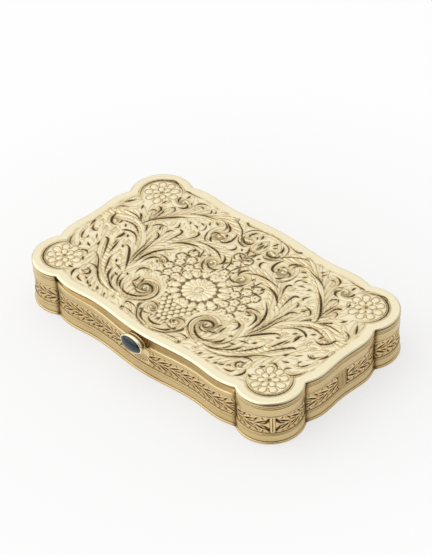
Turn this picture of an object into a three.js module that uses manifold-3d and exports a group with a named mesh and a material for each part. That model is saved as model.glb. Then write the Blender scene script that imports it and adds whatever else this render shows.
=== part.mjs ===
// Gold snuff box of lobed, serpentine outline: hinged lid, laurel side band,
// and a push piece set with an oval cabochon that frees a leaf-spring catch.
// Millimetres, +Z up. The origin is the centre of the underside, +X runs along
// the long sides, -Y faces the push piece and +Y the hinge.
import * as THREE from 'three';
import * as BufferGeometryUtils from 'three/addons/utils/BufferGeometryUtils.js';
import Module from 'manifold-3d';

// Plan outline: one quarter, mirrored to all four
const HALF_LENGTH = 43.25; // to the ends of the corner lobes
const HALF_WIDTH = 25.65;
const LOBE_R = 8.45;
const LONG_CROWN_OUT = 0.2; // long side: middle, beyond the lobes
const LONG_HOLLOW_IN = 0.9; // long side: hollow between middle and shoulder
const LONG_HOLLOW_X = 16.5;
const LONG_SHOULDER_IN = 0.3; // long side: swell beside the lobe
const LONG_SHOULDER_RUN = 5.4; // from the swell to the notch
const LONG_NOTCH_IN = 4.4; // from the lobe's centre to the notch
const SHORT_CROWN_IN = 0.65; // short side: middle
const SHORT_SHOULDER_IN = 0.25; // short side: swell beside the lobe
const SHORT_SHOULDER_RUN = 5.0;
const SHORT_NOTCH_IN = 4.8;

// Heights from the table up
const FLOOR_THICK = 0.7;
const BASE_RIM_H = 2.6; // foot roll and plain lower band
const BAND_H = 6.0; // side strip with the laurel field
const TOP_RIM_H = 2.2; // plain band up to the split
const LID_RIM_H = 1.45; // reeded rim of the lid
const PLATE_THICK = 0.45; // chased top plate
const BEZEL_RISE = 0.8; // lining above the split

// Walls and running clearances
const WALL = 1.0; // side wall with its mouldings
const LINING = 0.5; // inner sheet of the body
const LID_SHEET = 0.25; // inner sheet of the lid
const SEAM = 0.02; // soldered seam
const LID_GAP = 0.1; // joint line between body and lid
const BEZEL_GAP = 0.2; // lid rim round the bezel
const SLIDE_GAP = 0.1; // push piece in its collar, spring in its block

// Moulding depths, measured in from the outline
const WALL_FACE = 0.1; // plain bands
const FIELD_FACE = 0.3; // sunk laurel field
const FOOT_SWELL = 0.2; // foot roll stands proud of the outline
const FOOT_H = 0.7;
const RIM_GROOVE = 0.35; // groove under the top plate
const PLATE_ROUND = 0.2; // rounded edge of the top plate
const LEDGE = 0.6; // shelf over the floor panel
const LEDGE_H = 0.3;

// Thumb groove along the front, between the two front lobes
const GROOVE_DEPTH = 1.05;
const GROOVE_LIP = 0.15;
const GROOVE_WALL = 0.9;
const GROOVE_PAST_NOTCH = 0.1;
const BEVEL_H = 0.6; // bevel of the body's front edge
const BEVEL_DEPTH = 0.85;

// Hinge at the back
const BARREL_R = 0.75;
const PIN_R = 0.35;
const PIN_GAP = 0.05;
const KNUCKLES = 7;
const KNUCKLE_LEN = 3.0;
const KNUCKLE_GAP = 0.12;
const BARREL_GAP = 0.1; // barrel in the hollow of its bearers
const HINGE_OUT = 0.35; // axis behind the furthest point of the outline
const HINGE_DROP = 0.8; // axis under the split, so that the lid hides the hinge
const BEARER_H = 1.9;
const BEARER_REACH = 0.35; // bearers behind the axis

// Push piece: oval stone in a cup, sliding in a fixed collar
const PUSH_X = -0.6;
const PUSH_Z = 9.85;
const STONE_HALF_W = 3.2;
const STONE_HALF_H = 2.0;
const STONE_DOME = 1.2;
const STONE_EDGE = 0.35;
const CUP_WALL = 0.45;
const CUP_DEPTH = 0.6;
const CUP_FLOOR = 0.2;
const PUSH_TRAVEL = 0.6;
const PUSH_SPARE = 0.1; // gap left between cup and collar when pressed
const COLLAR_OUT = 0.6; // collar flange in front of the outline
const COLLAR_FLANGE = 0.45;
const COLLAR_FLANGE_RISE = 0.15;
const NECK_IN = 0.45; // neck, smaller than the stone all round
const COLLAR_WALL = 0.3;
const STEM_R = 0.6;
const STEM_DROP = 0.55;

// Catch in the pocket behind the front wall
const POCKET_DEPTH = 2.15;
const POCKET_SPARE = 0.7; // pocket beyond the ends of the thumb groove
const COVER_THICK = 0.4;
const LEAF_BACK = 0.45; // leaf behind the wall's inner face at the hollow
const LEAF_THICK = 0.3;
const LEAF_HALF_H = 0.95;
const SPRING_ARM = 11.4; // rivets to push stem
const LEAF_PAST_STEM = 5.4;
const BLOCK_W = 2.4;
const BLOCK_H = 2.1;
const BLOCK_CHEEK = 0.5;
const RIVET_R = 0.25;
const RIVET_HEAD_R = 0.4;
const RIVET_PITCH = 1.0;
const KEEPER_X = 4.2; // from the push piece's middle
const KEEPER_HALF_W = 1.1;
const KEEPER_THICK = 0.4;
const KEEPER_DROP = 2.0;
const LEDGE_REACH = 0.4; // hook of the keeper
const LEDGE_THICK = 0.4;
const NOSE_HALF_W = 0.7;
const NOSE_GAP = 0.05; // nose clear of the keeper's hook
const NOSE_RISE = 0.15;
const NOSE_H = 0.8;
const SLOT_GAP = 0.15;

// Facets
const LONG_STEPS = 9; // per quarter
const LOBE_STEPS = 12;
const SHORT_STEPS = 5;
const ROUND_STEPS = 16;
const OVAL_STEPS = 28;

// Places and levels worked out from the sizes above
const lobeX = HALF_LENGTH - LOBE_R;
const lobeY = HALF_WIDTH - LOBE_R;
const longCrown = HALF_WIDTH + LONG_CROWN_OUT;
const longHollow = HALF_WIDTH - LONG_HOLLOW_IN;
const longShoulder = HALF_WIDTH - LONG_SHOULDER_IN;
const longNotchX = lobeX - LONG_NOTCH_IN;
const longShoulderX = longNotchX - LONG_SHOULDER_RUN;
const shortCrown = HALF_LENGTH - SHORT_CROWN_IN;
const shortShoulder = HALF_LENGTH - SHORT_SHOULDER_IN;
const shortNotchY = lobeY - SHORT_NOTCH_IN;
const shortShoulderY = shortNotchY - SHORT_SHOULDER_RUN;
const grooveHalf = longNotchX + GROOVE_PAST_NOTCH;
const bandZ = BASE_RIM_H;
const topRimZ = bandZ + BAND_H;
const splitZ = topRimZ + TOP_RIM_H;
const lidZ = splitZ + LID_GAP;
const plateZ = lidZ + LID_RIM_H;
const topZ = plateZ + PLATE_THICK;
const wallIn = WALL_FACE + WALL;
const liningOut = wallIn + SEAM;
const liningIn = liningOut + LINING;
const backReach = Math.max(longCrown, longShoulder, HALF_WIDTH);
const hingeY = backReach + HINGE_OUT;
const hingeZ = splitZ - HINGE_DROP;
const channelR = BARREL_R + BARREL_GAP;
const hingeLen = KNUCKLES * KNUCKLE_LEN;
const pocketFront = longHollow - wallIn;
const pocketY = -(pocketFront - POCKET_DEPTH);
const pocketHalf = grooveHalf + POCKET_SPARE;
const leafY = -(pocketFront - LEAF_BACK);
const hookX = PUSH_X + KEEPER_X;
const stemZ = PUSH_Z - STEM_DROP;
const rivetX = PUSH_X - SPRING_ARM;

const wasm = await Module();
wasm.setup();

// Turns a closed geometry into a solid for joining and cutting
function toSolid(geometry) {
  const bare = geometry.clone();
  bare.deleteAttribute('normal');
  bare.deleteAttribute('uv');
  const merged = BufferGeometryUtils.mergeVertices(bare, 1e-5);
  return new wasm.Manifold(new wasm.Mesh({
    numProp: 3,
    vertProperties: new Float32Array(merged.attributes.position.array),
    triVerts: new Uint32Array(merged.index.array),
  }));
}

// Turns a solid back into a geometry
function toGeometry(solid) {
  const mesh = solid.getMesh();
  const geometry = new THREE.BufferGeometry();
  geometry.setAttribute('position', new THREE.BufferAttribute(new Float32Array(mesh.vertProperties), 3));
  geometry.setIndex([...mesh.triVerts]);
  return geometry;
}

// Cuts each tool out of the first geometry
function cut(geometry, ...tools) {
  return toGeometry(tools.reduce((solid, tool) => solid.subtract(toSolid(tool)), toSolid(geometry)));
}

// Keeps what two geometries share
function share(a, b) {
  return toGeometry(toSolid(a).intersect(toSolid(b)));
}

// A block given by its lowest and highest corner
function block(x0, x1, y0, y1, z0, z1) {
  const geometry = new THREE.BoxGeometry(x1 - x0, y1 - y0, z1 - z0);
  return geometry.translate((x0 + x1) / 2, (y0 + y1) / 2, (z0 + z1) / 2);
}

// Ease from 0 to 1 along half a cosine
const ease = (t) => (1 - Math.cos(Math.PI * t)) / 2;

// Half width of the box along its long side, at x
function longSide(x) {
  if (x < LONG_HOLLOW_X) return longCrown + (longHollow - longCrown) * ease(x / LONG_HOLLOW_X);
  if (x < longShoulderX) {
    const t = (x - LONG_HOLLOW_X) / (longShoulderX - LONG_HOLLOW_X);
    return longHollow + (longShoulder - longHollow) * ease(t);
  }
  const t = (x - longShoulderX) / (longNotchX - longShoulderX);
  const notchY = lobeY + Math.sqrt(LOBE_R ** 2 - (longNotchX - lobeX) ** 2);
  return longShoulder + (notchY - longShoulder) * (1 - Math.cos((Math.PI / 2) * t));
}

// Half length of the box along its short side, at y
function shortSide(y) {
  if (y < shortShoulderY) return shortCrown + (shortShoulder - shortCrown) * ease(y / shortShoulderY);
  const t = (y - shortShoulderY) / (shortNotchY - shortShoulderY);
  const notchX = lobeX + Math.sqrt(LOBE_R ** 2 - (shortNotchY - lobeY) ** 2);
  return shortShoulder + (notchX - shortShoulder) * (1 - Math.cos((Math.PI / 2) * t));
}

// A side curve moved in by inset, square to itself
function moveIn(side, inset) {
  const step = 0.01;
  return (u) => side(u) - inset * Math.hypot(1, (side(u + step) - side(Math.abs(u - step))) / (2 * step));
}

// Finds where a falling function crosses zero
function crossing(f, low, high) {
  for (let i = 0; i < 50; i += 1) {
    const middle = (low + high) / 2;
    if (f(middle) > 0) low = middle;
    else high = middle;
  }
  return (low + high) / 2;
}

// Plan outline moved in by inset, counter-clockwise, always with the same number of points
function outline(inset) {
  const r = LOBE_R - inset;
  const long = moveIn(longSide, inset);
  const short = moveIn(shortSide, inset);
  const arc = (d) => Math.sqrt(Math.max(0, r * r - d * d));
  const notchX = crossing((x) => long(x) - lobeY - arc(x - lobeX), longShoulderX, lobeX);
  const notchY = crossing((y) => short(y) - lobeX - arc(y - lobeY), shortShoulderY, lobeY);
  const start = Math.atan2(notchY - lobeY, short(notchY) - lobeX);
  const end = Math.atan2(long(notchX) - lobeY, notchX - lobeX);
  const quarter = [];
  for (let i = 0; i < SHORT_STEPS; i += 1) {
    const y = (notchY * i) / SHORT_STEPS;
    quarter.push([short(y), y]);
  }
  for (let i = 0; i < LOBE_STEPS; i += 1) {
    const angle = start + ((end - start) * i) / LOBE_STEPS;
    quarter.push([lobeX + r * Math.cos(angle), lobeY + r * Math.sin(angle)]);
  }
  for (let i = 0; i < LONG_STEPS; i += 1) {
    const x = notchX * (1 - i / LONG_STEPS);
    quarter.push([x, long(x)]);
  }
  const crown = [0, long(0)];
  const flip = (list, sx, sy) => list.map(([x, y]) => [sx * x, sy * y]);
  const back = flip([...quarter.slice(1), crown], -1, 1).reverse();
  const front = flip([...quarter.slice(1), crown], 1, -1).reverse();
  const loop = [...quarter, ...back, ...flip(quarter, -1, -1), ...front];
  return loop.map(([x, y]) => new THREE.Vector2(x, y));
}

// Skins a row of loops that have equal counts; ends are capped, or joined when caps is null
function skin(loops, caps) {
  const count = loops[0].length;
  const positions = loops.flat().flatMap((p) => [p.x, p.y, p.z]);
  const index = [];
  const rows = caps ? loops.length - 1 : loops.length;
  for (let j = 0; j < rows; j += 1) {
    const a = j * count;
    const b = ((j + 1) % loops.length) * count;
    for (let i = 0; i < count; i += 1) {
      const k = (i + 1) % count;
      index.push(a + i, a + k, b + k, a + i, b + k, b + i);
    }
  }
  if (caps) {
    const last = (loops.length - 1) * count;
    for (const [p, q, r] of THREE.ShapeUtils.triangulateShape(caps, [])) {
      index.push(p, r, q, last + p, last + q, last + r);
    }
  }
  const geometry = new THREE.BufferGeometry();
  geometry.setAttribute('position', new THREE.Float32BufferAttribute(positions, 3));
  geometry.setIndex(volumeOf(positions, index) < 0 ? index.reverse() : index);
  return geometry;
}

// Signed volume, to tell which way the faces point
function volumeOf(positions, index) {
  const at = (i) => new THREE.Vector3().fromArray(positions, 3 * i);
  let sum = 0;
  for (let i = 0; i < index.length; i += 3) {
    sum += at(index[i]).dot(at(index[i + 1]).cross(at(index[i + 2])));
  }
  return sum / 6;
}

// A moulding: a closed profile of [inset, z] taken right round the outline
function moulding(profile) {
  const loops = profile.map(([inset, z]) => outline(inset).map((p) => new THREE.Vector3(p.x, p.y, z)));
  return skin(loops, null);
}

// A plate: levels of [inset, z] from its underside to its top
function plate(levels) {
  const loops = levels.map(([inset, z]) => outline(inset).map((p) => new THREE.Vector3(p.x, p.y, z)));
  return skin(loops, outline(levels[0][0]));
}

// A moulding along the front only, from -half to half, from a profile of [inset, z]
function frontMoulding(profile, half) {
  const stations = 6 * LONG_STEPS;
  const loops = [];
  for (let i = 0; i <= stations; i += 1) {
    const x = -half + (2 * half * i) / stations;
    loops.push(profile.map(([inset, z]) => new THREE.Vector3(x, -moveIn(longSide, inset)(Math.abs(x)), z)));
  }
  return skin(loops, profile.map(([inset, z]) => new THREE.Vector2(inset, z)));
}

// Points on a quarter of an ellipse, from [x0, z0] to [x1, z1], leaving along x first when flat
function quarterRound(x0, z0, x1, z1, steps, flatFirst) {
  const points = [];
  for (let i = 0; i <= steps; i += 1) {
    const angle = ((Math.PI / 2) * i) / steps;
    const u = flatFirst ? Math.sin(angle) : 1 - Math.cos(angle);
    const v = flatFirst ? 1 - Math.cos(angle) : Math.sin(angle);
    points.push([x0 + (x1 - x0) * u, z0 + (z1 - z0) * v]);
  }
  return points;
}

// An oval form about the push axis: loops of [offset from the stone's edge, y]
function ovalLoops(profile) {
  return profile.map(([offset, y]) => {
    const loop = [];
    for (let i = 0; i < OVAL_STEPS; i += 1) {
      const angle = (2 * Math.PI * i) / OVAL_STEPS;
      const x = PUSH_X + (STONE_HALF_W + offset) * Math.cos(angle);
      loop.push(new THREE.Vector3(x, y, PUSH_Z + (STONE_HALF_H + offset) * Math.sin(angle)));
    }
    return loop;
  });
}

// Solid oval form, flat at both ends
function ovalSolid(profile) {
  const loops = ovalLoops(profile);
  return skin(loops, loops[0].map((p) => new THREE.Vector2(p.x, p.z)));
}

// A straight bar along X with a profile of [y, z]
function barAlongX(profile, x0, x1) {
  const shape = new THREE.Shape(profile.map(([y, z]) => new THREE.Vector2(y, z)));
  const geometry = new THREE.ExtrudeGeometry(shape, { depth: x1 - x0, bevelEnabled: false });
  geometry.rotateX(Math.PI / 2);
  geometry.rotateZ(Math.PI / 2);
  return geometry.translate(x0, 0, 0);
}

// A rod along X on the hinge axis
function hingeRod(r, length) {
  const geometry = new THREE.CylinderGeometry(r, r, length, ROUND_STEPS * 2);
  return geometry.rotateZ(Math.PI / 2).translate(0, hingeY, hingeZ);
}

const GOLD = { color: 0xd9b66a, roughness: 0.3, metalness: 1.0 };
const PALE_GOLD = { color: 0xe6cf94, roughness: 0.35, metalness: 1.0 };
const STEEL = { color: 0x9a9ea3, roughness: 0.35, metalness: 1.0 };
const STONE = { color: 0x1d3a44, roughness: 0.12, metalness: 0.0 };

// Makes a named piece with its own material
function piece(name, geometry, finish) {
  const mesh = new THREE.Mesh(geometry, new THREE.MeshStandardMaterial(finish));
  mesh.name = name;
  return mesh;
}

// Flat floor panel, let in under the ledge of the base moulding
function makeBasePlate() {
  const inset = wallIn + SEAM + SEAM;
  return piece('base_plate', plate([[inset, 0], [inset, FLOOR_THICK]]), GOLD);
}

// Foot roll, plain lower band and the ledge over the floor panel
function makeBaseRim() {
  const ledgeZ = FLOOR_THICK + SEAM;
  const profile = [
    [wallIn + SEAM, 0],
    [0, 0],
    [-FOOT_SWELL * 0.8, FOOT_H * 0.15],
    [-FOOT_SWELL, FOOT_H * 0.4],
    [-FOOT_SWELL * 0.6, FOOT_H * 0.75],
    [WALL_FACE, FOOT_H],
    [WALL_FACE, bandZ - SEAM],
    [wallIn, bandZ - SEAM],
    [wallIn, ledgeZ + LEDGE_H],
    [wallIn + LEDGE, ledgeZ + LEDGE_H],
    [wallIn + LEDGE, ledgeZ],
    [wallIn + SEAM, ledgeZ],
  ];
  return piece('base_rim', moulding(profile), GOLD);
}

// Side strip: reeds below, sunk laurel field, fillet above, opened for the collar
function makeWallBand(collarHole) {
  const reed = 0.4;
  const fillet = 0.3;
  const profile = [
    [wallIn, bandZ],
    [WALL_FACE + 0.1, bandZ],
    [WALL_FACE - 0.08, bandZ + reed * 0.5],
    [WALL_FACE + 0.1, bandZ + reed],
    [WALL_FACE - 0.08, bandZ + reed * 1.5],
    [FIELD_FACE, bandZ + reed * 2.2],
    [FIELD_FACE, topRimZ - fillet * 1.3],
    [WALL_FACE, topRimZ - fillet],
    [WALL_FACE, topRimZ - SEAM],
    [wallIn, topRimZ - SEAM],
  ];
  return piece('wall_band', cut(moulding(profile), collarHole), GOLD);
}

// Plain upper band, bevelled along the front, hollowed at the hinge, notched for the collar
function makeTopRim(collarHole, barrelHollow) {
  const ring = moulding([
    [wallIn, topRimZ],
    [WALL_FACE, topRimZ],
    [WALL_FACE, splitZ - 0.1],
    [WALL_FACE + 0.12, splitZ],
    [wallIn, splitZ],
  ]);
  const above = 0.5;
  const bevel = frontMoulding([
    [WALL_FACE - above, splitZ - BEVEL_H],
    [WALL_FACE, splitZ - BEVEL_H],
    [WALL_FACE + BEVEL_DEPTH * 0.35, splitZ - BEVEL_H * 0.25],
    [WALL_FACE + BEVEL_DEPTH, splitZ],
    [WALL_FACE + BEVEL_DEPTH, splitZ + above],
    [WALL_FACE - above, splitZ + above],
  ], grooveHalf - 0.3);
  return piece('top_rim', cut(ring, bevel, collarHole, barrelHollow), GOLD);
}

// Inner wall: follows the outline, straight in front of the catch pocket, rises as the bezel
function makeBodyLining() {
  const z0 = FLOOR_THICK + SEAM + LEDGE_H + SEAM;
  const z1 = splitZ + BEZEL_RISE;
  const deep = longCrown + LOBE_R;
  const over = 1;
  const lip = 0.15;
  const outer = cut(
    plate([[liningOut, z0], [liningOut, z1 - lip], [liningOut + lip, z1]]),
    block(-pocketHalf, pocketHalf, -deep, pocketY, z0 - over, z1 + over),
  );
  const innerHalf = pocketHalf + LINING;
  const inner = cut(
    plate([[liningIn, z0 - over], [liningIn, z1 + over]]),
    block(-innerHalf, innerHalf, -deep, pocketY + LINING, z0 - 2 * over, z1 + 2 * over),
  );
  return piece('body_lining', cut(outer, inner), PALE_GOLD);
}

// Plate over the catch pocket, slotted for the keeper and cleared for the neck
function makeCatchCover() {
  const z0 = splitZ - COVER_THICK;
  const deep = longCrown + LOBE_R;
  const half = pocketHalf - SEAM;
  const slab = share(
    plate([[liningOut, z0], [liningOut, splitZ]]),
    block(-half, half, -deep, pocketY - SEAM, z0 - 1, splitZ + 1),
  );
  const y = keeperY();
  const slot = block(
    hookX - KEEPER_HALF_W - SLOT_GAP,
    hookX + KEEPER_HALF_W + SLOT_GAP,
    y - SLOT_GAP,
    y + KEEPER_THICK + LEDGE_REACH + SLOT_GAP,
    z0 - 1,
    splitZ + 1,
  );
  return piece('catch_cover', cut(slab, slot, neckWay()), PALE_GOLD);
}

// Straight bearer between the serpentine back and the hinge barrel
function makeBodyBearer() {
  const inside = longHollow - WALL;
  const top = hingeZ - BARREL_R * 0.25;
  const profile = [
    [inside, top - BEARER_H],
    [hingeY - BARREL_R, top - BEARER_H],
    [hingeY + BEARER_REACH, top - BARREL_R * 1.1],
    [hingeY + BEARER_REACH, top],
    [inside, top],
  ];
  const half = hingeLen / 2;
  const wall = plate([[WALL_FACE - SEAM, topRimZ - BEARER_H], [WALL_FACE - SEAM, splitZ]]);
  const bar = cut(barAlongX(profile, -half, half), wall, hingeRod(channelR, hingeLen + 2));
  return piece('body_hinge_bearer', bar, GOLD);
}

// The same on the lid: from the back of its rim down over the barrel
function makeLidBearer() {
  const inside = longHollow - WALL;
  const low = hingeZ + BARREL_R * 0.65;
  const high = lidZ + LID_RIM_H * 0.45;
  const profile = [
    [inside, lidZ],
    [backReach, lidZ],
    [backReach, low],
    [hingeY + BEARER_REACH, low],
    [hingeY + BEARER_REACH, hingeZ + channelR + LID_GAP],
    [backReach, high],
    [inside, high],
  ];
  const half = hingeLen / 2;
  const rim = plate([[-SEAM, lidZ - 1], [-SEAM, plateZ + 1]]);
  const bar = cut(barAlongX(profile, -half, half), rim, hingeRod(channelR, hingeLen + 2));
  return piece('lid_hinge_bearer', bar, GOLD);
}

// Hinge tubes: odd ones on the body, even ones on the lid
function makeKnuckles() {
  const length = KNUCKLE_LEN - KNUCKLE_GAP;
  const bore = PIN_R + PIN_GAP;
  const pieces = { body: [], lid: [] };
  for (let i = 0; i < KNUCKLES; i += 1) {
    const profile = [
      [bore, -length / 2],
      [BARREL_R, -length / 2],
      [BARREL_R, length / 2],
      [bore, length / 2],
      [bore, -length / 2],
    ].map(([r, y]) => new THREE.Vector2(r, y));
    const owner = i % 2 === 0 ? 'body' : 'lid';
    const number = pieces[owner].length + 1;
    const tube = piece(`${owner}_knuckle_${number}`, new THREE.LatheGeometry(profile, ROUND_STEPS), GOLD);
    tube.rotation.z = Math.PI / 2;
    tube.position.set((i - (KNUCKLES - 1) / 2) * KNUCKLE_LEN, hingeY, hingeZ);
    pieces[owner].push(tube);
  }
  return pieces;
}

// Hinge pin with domed ends
function makeHingePin() {
  const half = hingeLen / 2;
  const dome = 0.12;
  const profile = [[0, -half - dome], [PIN_R * 0.7, -half - dome * 0.5], [PIN_R, -half]];
  const points = [...profile, ...profile.map(([r, y]) => [r, -y]).reverse()];
  const lathe = new THREE.LatheGeometry(points.map(([r, y]) => new THREE.Vector2(r, y)), ROUND_STEPS);
  const pin = piece('hinge_pin', lathe, STEEL);
  pin.rotation.z = Math.PI / 2;
  pin.position.set(0, hingeY, hingeZ);
  return pin;
}

// Chased top plate with a rounded edge
function makeLidPlate() {
  const round = quarterRound(0, topZ - PLATE_ROUND, PLATE_ROUND, topZ, 3, false);
  const under = PLATE_THICK * 0.25;
  const levels = [[RIM_GROOVE, plateZ], [0, plateZ + under], ...round];
  return piece('lid_plate', plate(levels), PALE_GOLD);
}

// Reeded rim under the plate, left out along the front
function makeLidRim(barrelHollow) {
  const bead = 0.42;
  const beadZ = lidZ + LID_RIM_H * 0.6;
  const inner = liningOut - BEZEL_GAP;
  const ring = moulding([
    [inner, lidZ],
    [WALL_FACE + 0.12, lidZ],
    [WALL_FACE, lidZ + 0.1],
    [WALL_FACE + 0.05, beadZ - bead],
    [0.05, beadZ - bead * 0.6],
    [0, beadZ],
    [0.05, beadZ + bead * 0.6],
    [RIM_GROOVE, beadZ + bead],
    [RIM_GROOVE, plateZ - SEAM],
    [inner, plateZ - SEAM],
  ]);
  const half = grooveHalf + LID_GAP;
  const front = block(-half, half, -longCrown - LOBE_R, -lobeY, lidZ - 1, plateZ + 1);
  return piece('lid_rim', cut(ring, front, barrelHollow), GOLD);
}

// Front part of the lid rim, hollowed as the thumb groove and notched over the collar
function makeThumbRail(collarHole) {
  const deep = GROOVE_LIP + GROOVE_DEPTH;
  const hollowZ = lidZ + LID_RIM_H * 0.25;
  const profile = [
    ...quarterRound(GROOVE_LIP, plateZ - SEAM, deep, hollowZ, 4, true),
    [deep, lidZ],
    [deep + GROOVE_WALL, lidZ],
    [deep + GROOVE_WALL, plateZ - SEAM],
  ];
  return piece('thumb_rail', cut(frontMoulding(profile, grooveHalf), collarHole), GOLD);
}

// Inner sheet of the lid
function makeLidLining() {
  const inset = liningOut - BEZEL_GAP + SEAM;
  const z1 = plateZ - SEAM;
  const z0 = z1 - LID_SHEET;
  const half = grooveHalf + LID_GAP;
  const railIn = GROOVE_LIP + GROOVE_DEPTH + GROOVE_WALL;
  const front = -(moveIn(longSide, railIn)(grooveHalf) - SEAM);
  const sheet = cut(
    plate([[inset, z0], [inset, z1]]),
    block(-half, half, -longCrown - LOBE_R, front, z0 - 1, z1 + 1),
  );
  return piece('lid_lining', sheet, PALE_GOLD);
}

// Front face of the keeper, just behind the front wall
function keeperY() {
  return -(moveIn(longSide, wallIn)(hookX)) + SLIDE_GAP;
}

// Hooked tab hanging from the thumb rail into the pocket
function makeKeeper() {
  const y = keeperY();
  const back = y + KEEPER_THICK;
  const bottom = lidZ - KEEPER_DROP;
  const profile = [
    [y, bottom],
    [back + LEDGE_REACH, bottom],
    [back + LEDGE_REACH, bottom + LEDGE_THICK],
    [back, bottom + LEDGE_THICK],
    [back, lidZ - SEAM],
    [y, lidZ - SEAM],
  ];
  const bar = barAlongX(profile, hookX - KEEPER_HALF_W, hookX + KEEPER_HALF_W);
  return piece('keeper', bar, GOLD);
}

// Where the cup, collar and stem lie along the push axis
function pushStations() {
  const outlineY = -longSide(Math.abs(PUSH_X));
  const collarFront = outlineY - COLLAR_OUT;
  const cupBack = collarFront - PUSH_TRAVEL - PUSH_SPARE;
  const cupFront = cupBack - CUP_FLOOR - CUP_DEPTH;
  const wallBack = outlineY + wallIn;
  return { outlineY, collarFront, cupBack, cupFront, wallBack };
}

// Fixed oval collar through the front wall
function makePushCollar() {
  const { outlineY, collarFront, wallBack } = pushStations();
  const bore = -NECK_IN + SLIDE_GAP;
  const tube = bore + COLLAR_WALL;
  const loops = ovalLoops([
    [bore, wallBack],
    [bore, collarFront],
    [COLLAR_FLANGE_RISE * 0.7, collarFront],
    [COLLAR_FLANGE_RISE, collarFront + COLLAR_FLANGE * 0.3],
    [COLLAR_FLANGE_RISE, collarFront + COLLAR_FLANGE],
    [tube, Math.min(outlineY - SEAM, collarFront + COLLAR_FLANGE * 1.2)],
    [tube, wallBack],
  ]);
  return piece('push_collar', skin(loops, null), GOLD);
}

// The way that the neck needs behind the wall when it is pressed in
function neckWay() {
  const { wallBack } = pushStations();
  const offset = -NECK_IN + SLIDE_GAP;
  return ovalSolid([[offset, wallBack - SLIDE_GAP], [offset, wallBack + PUSH_TRAVEL + SLIDE_GAP]]);
}

// The hole that the collar passes through
function collarOpening(gap) {
  const { outlineY, wallBack } = pushStations();
  const offset = -NECK_IN + SLIDE_GAP + COLLAR_WALL + gap;
  return ovalSolid([[offset, outlineY - 1], [offset, wallBack + 1]]);
}

// Oval cup that holds the stone, with the neck that slides in the collar
function makePushCollet() {
  const { cupBack, cupFront, wallBack } = pushStations();
  const seat = SEAM + 0.03;
  const floor = cupBack - CUP_FLOOR;
  const solid = ovalSolid([
    [-NECK_IN, wallBack - 0.1],
    [-NECK_IN, cupBack],
    [CUP_WALL * 0.7, cupBack],
    [CUP_WALL, cupBack - CUP_FLOOR],
    [CUP_WALL, cupFront + CUP_DEPTH * 0.35],
    [CUP_WALL * 0.55, cupFront],
    [seat, cupFront],
  ]);
  const well = ovalSolid([[seat, cupFront - 1], [seat, floor]]);
  return piece('push_collet', cut(solid, well), GOLD);
}

// Oval cabochon: flat back, straight girdle, domed face
function makeCabochon() {
  const { cupBack } = pushStations();
  const back = cupBack - CUP_FLOOR - SEAM;
  const profile = [new THREE.Vector2(0, 0), new THREE.Vector2(1, 0), new THREE.Vector2(1, STONE_EDGE)];
  const rings = 5;
  for (let i = 1; i <= rings; i += 1) {
    const angle = ((Math.PI / 2) * i) / rings;
    const r = i === rings ? 0 : Math.cos(angle);
    profile.push(new THREE.Vector2(r, STONE_EDGE + STONE_DOME * Math.sin(angle)));
  }
  const geometry = new THREE.LatheGeometry(profile, OVAL_STEPS);
  geometry.scale(STONE_HALF_W, -1, STONE_HALF_H);
  const stone = piece('cabochon', flipIfInside(geometry), STONE);
  stone.position.set(PUSH_X, back, PUSH_Z);
  return stone;
}

// Turns the faces round when a mirrored geometry points inwards
function flipIfInside(geometry) {
  if (volumeOf(geometry.attributes.position.array, [...geometry.index.array]) < 0) {
    geometry.setIndex([...geometry.index.array].reverse());
  }
  return geometry;
}

// Round stem from the neck to the leaf spring
function makePushStem() {
  const { wallBack } = pushStations();
  const y0 = wallBack - 0.1 + SEAM;
  const y1 = leafY - SLIDE_GAP;
  const tip = 0.15;
  const profile = [[0, 0], [STEM_R, 0], [STEM_R, y1 - y0 - tip], [STEM_R * 0.6, y1 - y0], [0, y1 - y0]];
  const lathe = new THREE.LatheGeometry(profile.map(([r, y]) => new THREE.Vector2(r, y)), ROUND_STEPS);
  const stem = piece('push_stem', lathe, GOLD);
  stem.position.set(PUSH_X, y0, stemZ);
  return stem;
}

// A rod along Y, for the rivets and their holes
function rivetRod(r, y0, y1, z) {
  const rod = new THREE.CylinderGeometry(r, r, y1 - y0, ROUND_STEPS);
  return rod.translate(rivetX, (y0 + y1) / 2, z);
}

const rivetLevels = [stemZ - RIVET_PITCH / 2, stemZ + RIVET_PITCH / 2];

// Slotted block behind the front wall that grips the end of the leaf
function makeSpringBlock() {
  const kerf0 = leafY - SLIDE_GAP;
  const kerf1 = leafY + LEAF_THICK + SLIDE_GAP;
  const front = -moveIn(longSide, wallIn)(Math.abs(rivetX)) + SLIDE_GAP;
  const back = kerf1 + BLOCK_CHEEK;
  const x0 = rivetX - BLOCK_W / 2;
  const x1 = rivetX + BLOCK_W / 2;
  const z0 = stemZ - BLOCK_H / 2;
  const body = block(x0, x1, front, back, z0, z0 + BLOCK_H);
  const end = 0.4;
  const kerf = block(x0 + end, x1 + 1, kerf0, kerf1, z0 - 1, z0 + BLOCK_H + 1);
  const holes = rivetLevels.map((z) => rivetRod(RIVET_R + PIN_GAP, front - 1, back + 1, z));
  return piece('spring_block', cut(body, kerf, ...holes), GOLD);
}

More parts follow.
